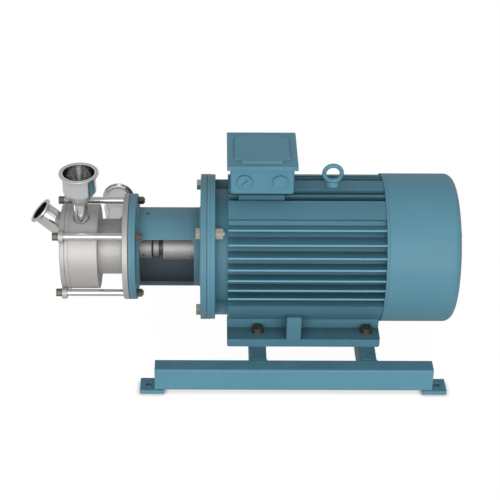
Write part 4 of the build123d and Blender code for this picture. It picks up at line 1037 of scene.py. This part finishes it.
# %% [markdown]
# The pressed cowl laps over the ends of the fins, with its edge turned over for stiffness. The
# solid cowl stops just short of them, so a rolled rim carries it on. Its four end screws are low
# round ones, which the picture doesn't even show, so they stand in for the taller solid heads.

# %% Cowl rim and screws
cowl_screw_circle = 143.0
rim_outline = [(403.8, 171.7), (403.6, 173.2), (404.2, 174.15), (410.5, 174.12), (410.5, 171.9)]
head_outline = [(572.2, 0.05), (572.2, 7.0), (573.4, 7.0), (574.6, 5.6), (575.2, 3.6),
                (573.8, 3.2), (573.8, 0.05)]

rim = bmesh.new()
revolve(rim, rim_outline, sides=160)
dress("cowl_rim", rim, "blue_paint")
low_heads = bmesh.new()
for across, up in corners:
    revolve(low_heads, head_outline, (cowl_screw_circle * across, cowl_screw_circle * up), 36)
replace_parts(dress("cowl_low_screws", low_heads, "painted_hardware"), "cowl_screws")

# %% [markdown]
# ## The floor's finish
# The picture stands on plain white with hardly a shadow. A shadow catcher would leave the shadow
# alone, but then the floor couldn't throw light back. So the floor is an ordinary pale surface for
# the light that bounces off it and for what the metal mirrors. Seen straight on it mostly glows
# white. The glow dies out right where something touches the floor, which leaves a thin contact
# shadow and keeps the anchor holes dark.

# %% Paint the floor
floor_tone = 0.44
plain_glow = 0.65
extra_camera_glow = 0.43
camera_share = 0.9
mirror_share = 0.8
contact_width = 0.012

pale = bpy.data.materials.new("pale_floor")
pale.use_nodes = True
tree = pale.node_tree
tree.nodes.clear()
matt = tree.nodes.new("ShaderNodeBsdfPrincipled")
matt.inputs["Roughness"].default_value = 0.8
matt.inputs["Base Color"].default_value = (floor_tone, floor_tone, floor_tone, 1.0)
path = tree.nodes.new("ShaderNodeLightPath")
covered = tree.nodes.new("ShaderNodeAmbientOcclusion")
covered.inputs["Distance"].default_value = contact_width
open_glow = calculate(tree, "MULTIPLY_ADD", path.outputs["Is Camera Ray"], extra_camera_glow,
                      plain_glow)
glow_strength = calculate(tree, "MULTIPLY", open_glow, covered.outputs["AO"])
glowing = tree.nodes.new("ShaderNodeEmission")
tree.links.new(glow_strength, glowing.inputs["Strength"])
mirrored = calculate(tree, "MULTIPLY", path.outputs["Is Glossy Ray"], mirror_share)
looked_at = calculate(tree, "MULTIPLY", path.outputs["Is Camera Ray"], camera_share)
both = tree.nodes.new("ShaderNodeMixShader")
end = tree.nodes.new("ShaderNodeOutputMaterial")
tree.links.new(calculate(tree, "MAXIMUM", mirrored, looked_at), both.inputs["Fac"])
tree.links.new(matt.outputs[0], both.inputs[1])
tree.links.new(glowing.outputs[0], both.inputs[2])
tree.links.new(both.outputs[0], end.inputs["Surface"])
floor.data.materials.append(pale)
print("floor painted")

# %% [markdown]
# ## End

# %% Finish
print("the scene is dressed")
